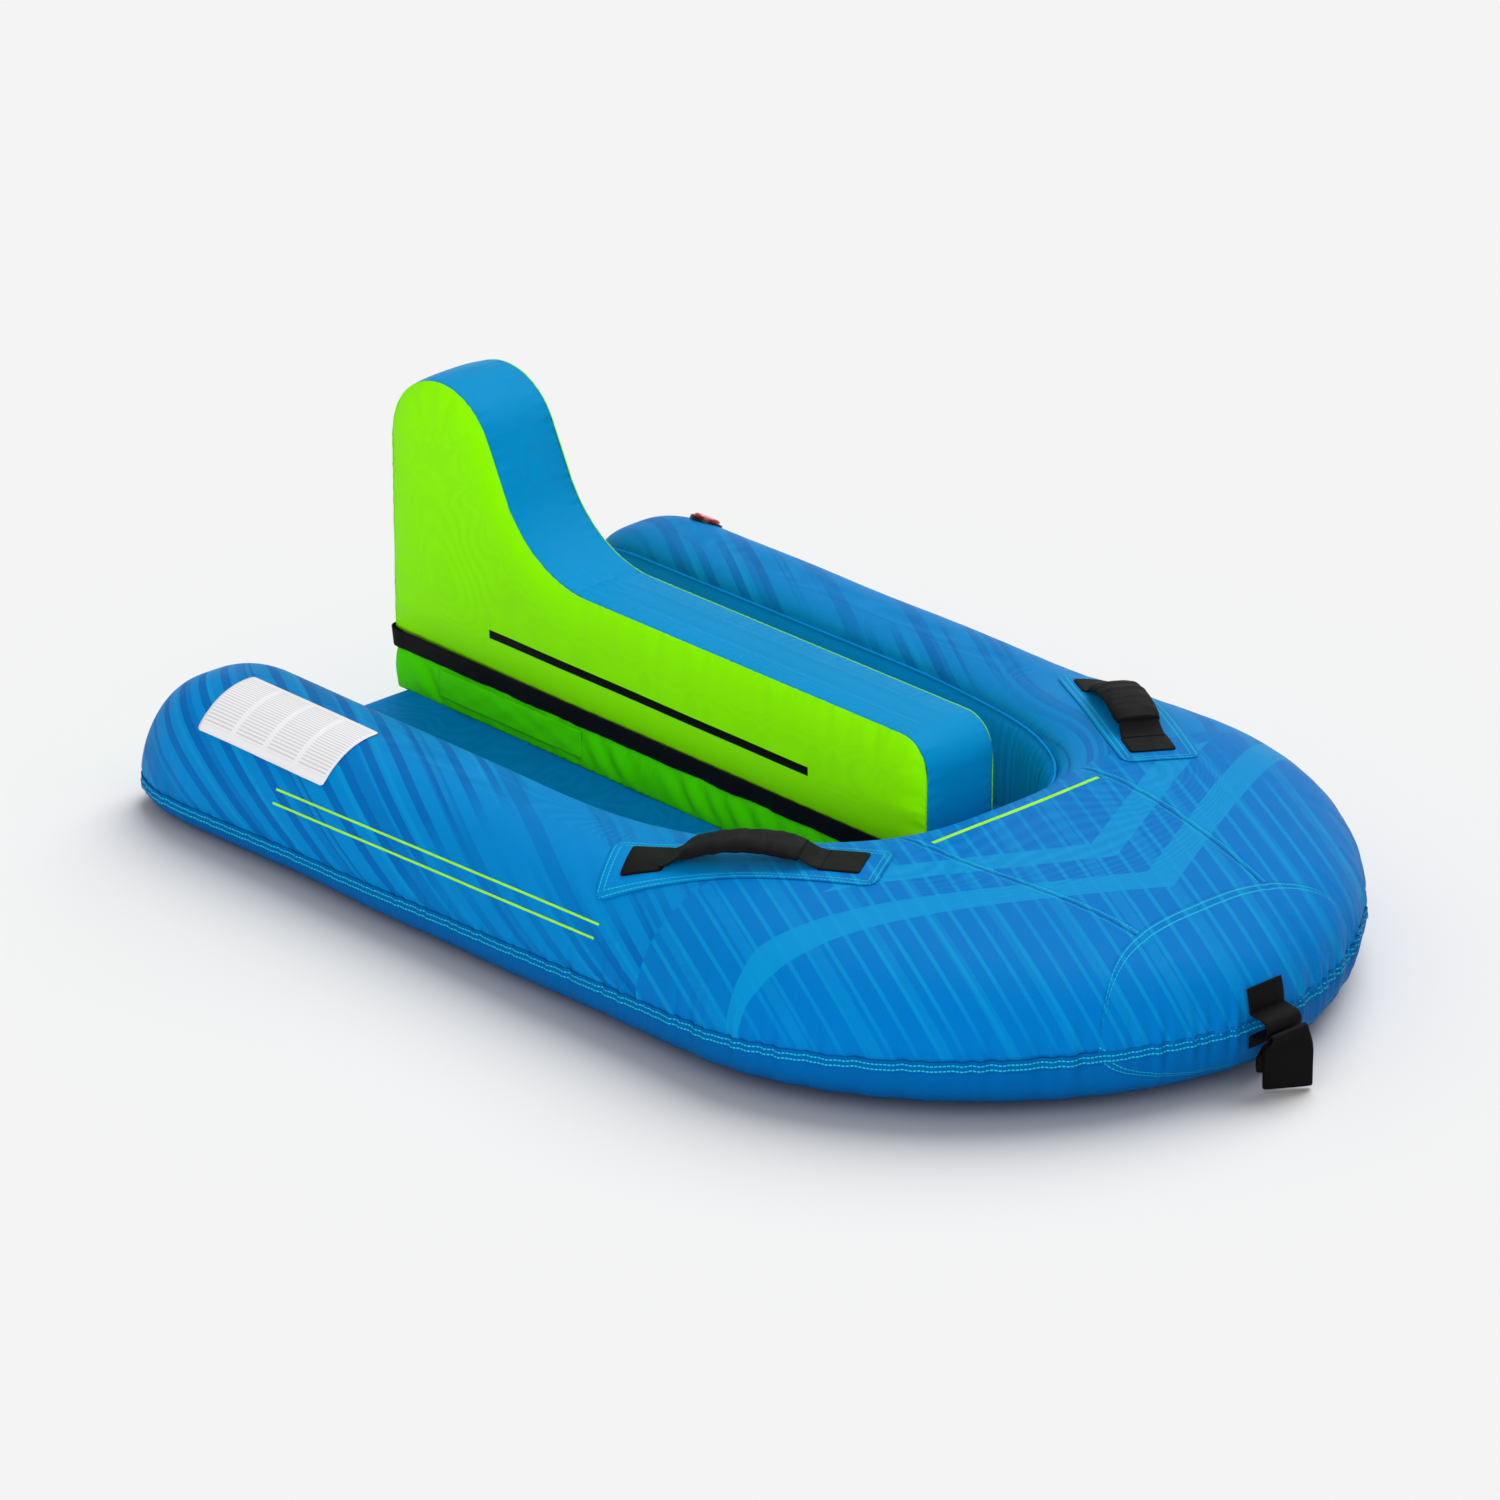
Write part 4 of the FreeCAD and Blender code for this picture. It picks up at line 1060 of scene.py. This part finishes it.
def seat_outline(pitch=3 * MM):
    """Side outline of the seat, (y, z): front foot, bench, backrest, rear foot."""
    back = np.array([SEAT_REAR - BACK_RADIUS, BACK_TOP - BACK_RADIUS])
    bend = np.array([BEND_Y, BENCH_TOP + BEND_RADIUS])
    nose = np.array([SEAT_FRONT + FRONT_RADIUS, BENCH_TOP - FRONT_RADIUS])
    between = back - bend
    spread = math.acos((BACK_RADIUS + BEND_RADIUS) / np.linalg.norm(between))
    lean = math.atan2(between[1], between[0]) - spread
    toward = np.array([math.cos(lean), math.sin(lean)])
    parts = [
        run_line((SEAT_FRONT, ZIP_LEVEL), (SEAT_FRONT, nose[1]), pitch),
        arc(nose, FRONT_RADIUS, math.pi, math.pi / 2, pitch),
        run_line((nose[0], BENCH_TOP), (bend[0], BENCH_TOP), pitch),
        arc(bend, BEND_RADIUS, -math.pi / 2, lean, pitch),
        run_line(bend + toward * BEND_RADIUS, back - toward * BACK_RADIUS, pitch),
        arc(back, BACK_RADIUS, lean + math.pi, 0, pitch),
        run_line((SEAT_REAR, back[1]), (SEAT_REAR, ZIP_LEVEL), pitch),
    ]
    return even_steps(np.concatenate([parts[0]] + [part[1:] for part in parts[1:]]), pitch)


def seat_top(y):
    """Height of the outline over a given y."""
    outline = seat_outline(1 * MM)[0]
    first = int(np.argmax(outline[:, 1] >= BENCH_TOP - FRONT_RADIUS))
    last = len(outline) - int(np.argmax(outline[::-1, 1] >= BACK_TOP - BACK_RADIUS))
    spine = outline[first:last]
    return np.maximum(ZIP_LEVEL, np.interp(y, spine[:, 0], spine[:, 1]))


def side_panel(name, side, paints):
    """Blown-out lime side of the seat: fine gathers run in from its sewn edge."""
    columns, rows = 190, 64
    angle = np.linspace(0, math.pi, columns)
    even = np.linspace(SEAT_FRONT, SEAT_REAR, columns)
    y = 0.25 * (SEAT_FRONT + (SEAT_REAR - SEAT_FRONT) * (1 - np.cos(angle)) / 2) + 0.75 * even
    top = seat_top(y)
    share = 1 - (1 - np.linspace(0, 1, rows)) ** 1.25
    z = ZIP_LEVEL - 1 * MM + (top - ZIP_LEVEL + 1 * MM)[:, None] * share[None]
    grid_y = y[:, None] * np.ones((1, rows))
    outline, run = seat_outline(2 * MM)
    flat = np.stack([grid_y.ravel(), z.ravel()], -1)
    gaps = np.linalg.norm(flat[:, None] - outline[None], axis=-1)
    nearest = gaps.argmin(1)
    edge = gaps.min(1).reshape(z.shape)
    where = run[nearest].reshape(z.shape)
    level_edge = z - ZIP_LEVEL
    full = (1 - np.exp(-edge / 0.016)) * (0.30 + 0.70 * (1 - np.exp(-np.maximum(level_edge, 0) / 0.018)))
    push = SIDE_BULGE * 0.96 * full
    push += gathers(where, edge, 61, (0.007, 0.017), 0.009, 0.65 * MM) * smooth(edge / 0.003)
    push += gathers(where, edge, 62, (0.018, 0.045), 0.030, 0.9 * MM) * smooth(edge / 0.010)
    push += gathers(grid_y, level_edge, 63, (0.020, 0.050), 0.020, 0.3 * MM)
    points = np.stack([z * 0, grid_y, z], -1)
    push += lumps(points, 64 + side, 0.06, 0.22) * 0.6 * MM * smooth(edge / 0.03)
    points[..., 0] = side * (SEAT_HALF + push)
    piece = sheet("seat_panel_" + name, points, paints["lime"], 0.8 * MM, outward=side)
    settle(piece, "hull", "seat_side_" + name)


def gusset(paints):
    """The long blue strip over the front, bench, backrest and rear of the seat."""
    outline, run = seat_outline(3 * MM)
    columns = 40
    across = np.linspace(-1, 1, columns)
    tangent = tangents(outline)
    normal = np.stack([-tangent[:, 1], tangent[:, 0]], -1)
    edge = (1 - np.abs(across)) * SEAT_HALF
    crown = (1 - np.abs(across) ** 2.6) * 3.2 * MM
    push = crown[None] * np.ones((len(run), 1))
    for sign, seed in ((1, 71), (-1, 72)):
        away = (1 - sign * across) * SEAT_HALF
        puckers = gathers(run[:, None], away[None], seed, (0.007, 0.018), 0.010, 0.7 * MM)
        push = push + puckers * smooth(edge / 0.003)
    ends = smooth(np.minimum(run, run[-1] - run) / 0.03)[:, None]
    push = push * mix(0.4, 1.0, ends)
    seam_at = run[int(np.argmin(np.linalg.norm(outline - np.array([BEND_Y + 0.02, BENCH_TOP]), axis=1)))]
    from_seam = np.abs(run - seam_at)[:, None]
    push = push - groove(from_seam, 4 * MM, 1.8 * MM)
    push = push + gathers(across[None] * SEAT_HALF, from_seam, 73, (0.008, 0.02), 0.018, 0.8 * MM)
    place_yz = outline[:, None] + normal[:, None] * push[..., None]
    x = np.tile(across * SEAT_HALF * 1.003, (len(run), 1))
    points = np.stack([x, place_yz[..., 0], place_yz[..., 1]], -1)
    points[..., 1] += lumps(points, 74, 0.05, 0.16) * 0.4 * MM
    piece = sheet("seat_top_strip", points, paints["gusset"], 0.8 * MM)
    face_outward(piece, np.repeat(np.concatenate([normal[:, :1] * 0, normal], 1), columns, axis=0))
    settle(piece, "hull", "seat_gusset")


def foot_path(offset, corner, pitch=4 * MM):
    """Closed plan line round the seat foot: a rectangle with rounded corners."""
    half, front, rear = SEAT_HALF + offset, SEAT_FRONT - offset, SEAT_REAR + offset
    corners = ((half - corner, rear - corner), (corner - half, rear - corner),
               (corner - half, front + corner), (half - corner, front + corner))
    parts = [arc(spot, corner, quarter * math.pi / 2, (quarter + 1) * math.pi / 2, 1.5 * MM)
             for quarter, spot in enumerate(corners)]
    path, even = even_steps(np.concatenate(parts + [parts[0][:1]]), pitch, True)
    tangent = tangents(path, True)
    return path, np.stack([tangent[:, 1], -tangent[:, 0]], -1), even


def ring_sheet(name, offset, low, high, rows, profile, paint, thickness):
    """Upright cloth band round the seat foot. The profile gives its push outward at each height and place."""
    path, normal, run = foot_path(offset, 9 * MM)
    z = np.linspace(low, high, rows)
    push = profile(run[:, None], (z[None] - low) / (high - low))
    plan = path[:, None] + normal[:, None] * push[..., None]
    points = np.concatenate([plan, np.broadcast_to(z[None, :, None], plan.shape[:2] + (1,))], -1)
    return sheet(name, points, paint, thickness, close_rows=True)


def skirt_push(run, level):
    level = np.clip(level / 0.86, 0, 1)
    puff = np.sin(np.pi * level) ** 0.8 * 3.5 * MM
    folds = ripple(run + level * 0.030, 81, 0.020, 0.060) * np.sin(np.pi * level) * 1.7 * MM
    fine = ripple(run - level * 0.012, 82, 0.008, 0.022) * (1 - np.sin(np.pi * level) * 0.6) * 0.6 * MM
    return puff + folds + fine


def flap_push(run, level):
    waves = ripple(run, 83, 0.05, 0.14) * 0.8 + ripple(run, 84, 0.015, 0.04) * 0.3
    return waves * MM * (1 - level) + level * 2.4 * MM


def make_seat_foot(paints):
    access_low, access_high = node_box("seat_access_flap")
    skirt = ring_sheet("seat_skirt_cloth", 1.0 * MM, SKIRT_LOW[2] - 3.5 * MM, FLAP_LOW[2] + 6 * MM, 22,
                       skirt_push, paints["skirt"], 0.8 * MM)
    cut_window(skirt, access_low, access_high, 10 * MM)
    settle(skirt, "hull", "seat_skirt")
    flap = ring_sheet("seat_flap_zip", 4.2 * MM, FLAP_LOW[2], FLAP_HIGH[2] + 1 * MM, 10, flap_push,
                      paints["web"], 1.0 * MM)
    settle(flap, "hull", "seat_zip_flap", "seat_zip_tape")
    bag = ring_sheet("seat_chamber", -2.5 * MM, SKIRT_LOW[2] + 3 * MM, ZIP_LEVEL - 2 * MM, 8,
                     lambda run, level: run * 0 + level * 0, paints["film"], 0.5 * MM)
    settle(bag, "hull", "seat_bladder")
    access_flap(access_low, access_high, paints)


def cut_window(piece, low, high, margin):
    """Opens the skirt behind the access flap."""
    mesh = bmesh.new()
    mesh.from_mesh(piece.data)
    out = []
    for face in mesh.faces:
        middle = face.calc_center_median()
        inside_y = low[1] + margin < middle.y < high[1] - margin
        if middle.x < -0.8 * SEAT_HALF and inside_y and low[2] + 6 * MM < middle.z < high[2] - 6 * MM:
            out.append(face)
    bmesh.ops.delete(mesh, geom=out, context="FACES")
    mesh.to_mesh(piece.data)
    mesh.free()


def access_flap(low, high, paints):
    """Creased rectangular flap over the seat valve; its lower edge is sewn to the skirt."""
    columns, rows = 90, 20
    y = np.linspace(low[1], high[1], columns)[:, None] * np.ones((1, rows))
    z = np.linspace(low[2] + 4.5 * MM, high[2], rows)[None] * np.ones((columns, 1))
    u = (y - low[1]) / (high[1] - low[1])
    v = (z - low[2]) / (high[2] - low[2])
    puff = (np.sin(np.pi * u) ** 0.35) * (0.25 + np.sin(np.pi * v) ** 0.8) * 1.6 * MM
    points = np.stack([y * 0, y, z], -1)
    creases = lumps(points * np.array([1, 1, 1.6]), 91, 0.018, 0.060) * 0.7 * MM * np.sin(np.pi * v) ** 0.5
    points[..., 0] = low[0] - 2.2 * MM - puff - creases
    piece = sheet("seat_flap_access", points, paints["skirt"], 0.8 * MM, outward=-1)
    settle(piece, "access_flap", "seat_access_flap")


# ---------------------------------------------------------------- tow point
LOOP_TWIST = math.radians(-32)


def on_nose(heights, turns):
    """(y, z) points just off the nose's middle line at the given heights, over a range of t."""
    skin = hull_surface(np.zeros(len(turns)), turns, 1.6 * MM)
    return np.stack([np.interp(heights, skin[:, 2], skin[:, 1]), heights], -1)


def make_tow(paints):
    """Wide webbing sleeve sewn over the nose seam, with two folded strap loops hanging in it."""
    radius = 10.1 * MM
    eye_y = ANCHOR_LOW[1] + radius + WEB_THICK / 2
    eye_z = float(seam_height(NOSE_START - NOSE_LENGTH))
    top, foot = float(ANCHOR_HIGH[2]) - 2 * MM, float(ANCHOR_LOW[2]) + 1 * MM
    upper = on_nose(np.linspace(top, eye_z + 12 * MM, 12), np.linspace(1.0, 1.75, 400))
    loop = arc((eye_y, eye_z), radius, math.radians(100), math.radians(260), 1.5 * MM)
    lower = on_nose(np.linspace(eye_z - 12 * MM, foot, 8), np.linspace(0.3, 1.0, 300))
    path = np.concatenate([upper, loop, lower])
    tow_ribbon("tow_sleeve", path, "tow_anchor", "hull", paints, False)
    for layer in ("front", "back"):
        low, high = node_box("tow_strap_" + layer)
        middle = (low[1] + high[1]) / 2
        fold = (high[1] - low[1]) / 2 - 1.1 * MM
        top, bottom = high[2] - fold - 1.1 * MM, low[2] + fold + 1.1 * MM
        path = np.concatenate([
            arc((middle, top), fold, 0, math.pi, 1.0 * MM),
            run_line((middle - fold, top), (middle - fold, bottom), 3 * MM)[1:-1],
            arc((middle, bottom), fold, math.pi, 2 * math.pi, 1.0 * MM),
            run_line((middle + fold, bottom), (middle + fold, top), 3 * MM)[1:-1]])
        path[:, 0] += ripple(path[:, 1], 95, 0.03, 0.07) * 0.3 * MM
        tow_ribbon("tow_loop_" + layer, path, "tow_strap_" + layer, "tow_strap", paints, True, LOOP_TWIST)


def tow_ribbon(name, path, node, body, paints, closed, twist=0.0):
    """Webbing along a (y, z) path; a hanging loop can turn about the upright line through its fold."""
    count = len(path)
    points = np.stack([np.zeros(count), path[:, 0], path[:, 1]], -1)
    sideways = np.tile([1.0, 0, 0], (count, 1))
    normal = np.cross(sideways, tangents(points, closed))
    if twist:
        level = smooth((path[:, 1].max() - path[:, 1]) / (25 * MM)) * twist
        middle = (path[:, 0].min() + path[:, 0].max()) / 2
        turned_x = np.stack([np.cos(level), np.sin(level), level * 0], -1)
        turned_y = np.stack([-np.sin(level), np.cos(level), level * 0], -1)
        rise = np.array([0, 0, 1.0])
        fold = np.stack([level * 0, level * 0 + middle, points[:, 2]], -1)
        points = turned_y * (points[:, 1:2] - middle) + fold
        sideways = turned_x
        normal = turned_x * normal[:, 0:1] + turned_y * normal[:, 1:2] + rise * normal[:, 2:3]
    piece = ribbon(name, points, sideways, normal, WEB_WIDTH, WEB_THICK, paints["web"], closed)
    recalculate(piece)
    settle(piece, body, node)


# ---------------------------------------------------------------- carried-over hard pieces
def paint_carried(paints):
    finishes = {
        "valve": ("hull_valve_body", "hull_valve_stem", "seat_valve_body"),
        "red": ("hull_valve_cap", "seat_valve_cap"),
        "steel": ("hull_valve_spring",),
        "zip": ("seat_zip_slider", "seat_zip_pull", "hull_zip_slider", "hull_zip_pull"),
    }
    for paint, names in finishes.items():
        for name in names:
            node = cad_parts[name]
            node.data.materials.clear()
            node.data.materials.append(paints[paint])


# ---------------------------------------------------------------- stage, light and camera
def make_stage():
    """Pale floor, even room light, a soft key sun and a fill sun that lights the object only."""
    paint = Paint("studio_floor", (0.86, 0.86, 0.86), 0.95)
    paint.shader.inputs["Specular IOR Level"].default_value = 0.0
    paint.shade(paint.noise(2.0, 2.0) * 0.006 + 0.997)
    half, ground = 12, -0.5 * MM
    corners = [(-half, -half, ground), (half, -half, ground), (half, half, ground), (-half, half, ground)]
    floor = new_object("studio_floor", corners, [(0, 1, 2, 3)], paint.finish(0.0), False)
    world = bpy.data.worlds.new("studio")
    bpy.context.scene.world = world
    world.use_nodes = True
    background = world.node_tree.nodes["Background"]
    background.inputs["Color"].default_value = (1.0, 0.970, 0.930, 1)
    background.inputs["Strength"].default_value = 0.45
    lit_by_fill = bpy.data.collections.new("lit_by_fill")
    for piece in [item for item in bpy.context.scene.objects if item.type == "MESH" and item != floor]:
        lit_by_fill.objects.link(piece)
    for name, strength, width, direction in (("key", 2.50, 50, (-0.60, -0.25, -0.76)),
                                             ("fill", 2.25, 60, (0.78, 0.50, -0.38))):
        light = bpy.data.lights.new(name, "SUN")
        light.energy = strength
        light.angle = math.radians(width)
        light.color = (1.0, 1.022, 1.050)
        lamp = bpy.data.objects.new(name, light)
        lamp.rotation_mode = "QUATERNION"
        lamp.rotation_quaternion = Vector(direction).to_track_quat("-Z", "Y")
        bpy.context.scene.collection.objects.link(lamp)
        if name == "fill":
            lamp.light_linking.receiver_collection = lit_by_fill


def make_camera():
    """A long lens off the starboard bow, looking down on the hull."""
    turn, rise = math.radians(42.94), math.radians(23.8)
    right = Vector((math.cos(turn), -math.sin(turn), 0))
    back = Vector((-math.sin(turn) * math.cos(rise), -math.cos(turn) * math.cos(rise), math.sin(rise)))
    above = back.cross(right)
    data = bpy.data.cameras.new("camera")
    data.sensor_width = 36
    data.lens = 196.6
    data.clip_end = 60
    camera = bpy.data.objects.new("camera", data)
    aim = Vector((0, -0.215, 0.202))
    away, left, lifted, margin = 8.191, 0.2114, 0.0142, 1.02
    camera.location = aim + margin * (back * away - right * left + above * lifted)
    camera.rotation_mode = "QUATERNION"
    camera.rotation_quaternion = (-back).to_track_quat("-Z", "Y")
    bpy.context.scene.collection.objects.link(camera)
    bpy.context.scene.camera = camera
    bpy.context.scene.view_settings.view_transform = "Standard"


paints = make_materials()
top_cover = make_hull(paints)
bpy.context.view_layer.update()
make_nose_patch(paints)
make_handles(top_cover, paints)
make_label(top_cover, paints)
make_floor(paints)
make_bottom_panel(paints)
make_small_cloths(paints)
for panel_name, panel_side in (("port", 1), ("starboard", -1)):
    side_panel(panel_name, panel_side, paints)
gusset(paints)
make_seat_foot(paints)
make_tow(paints)
paint_carried(paints)
make_stage()
make_camera()
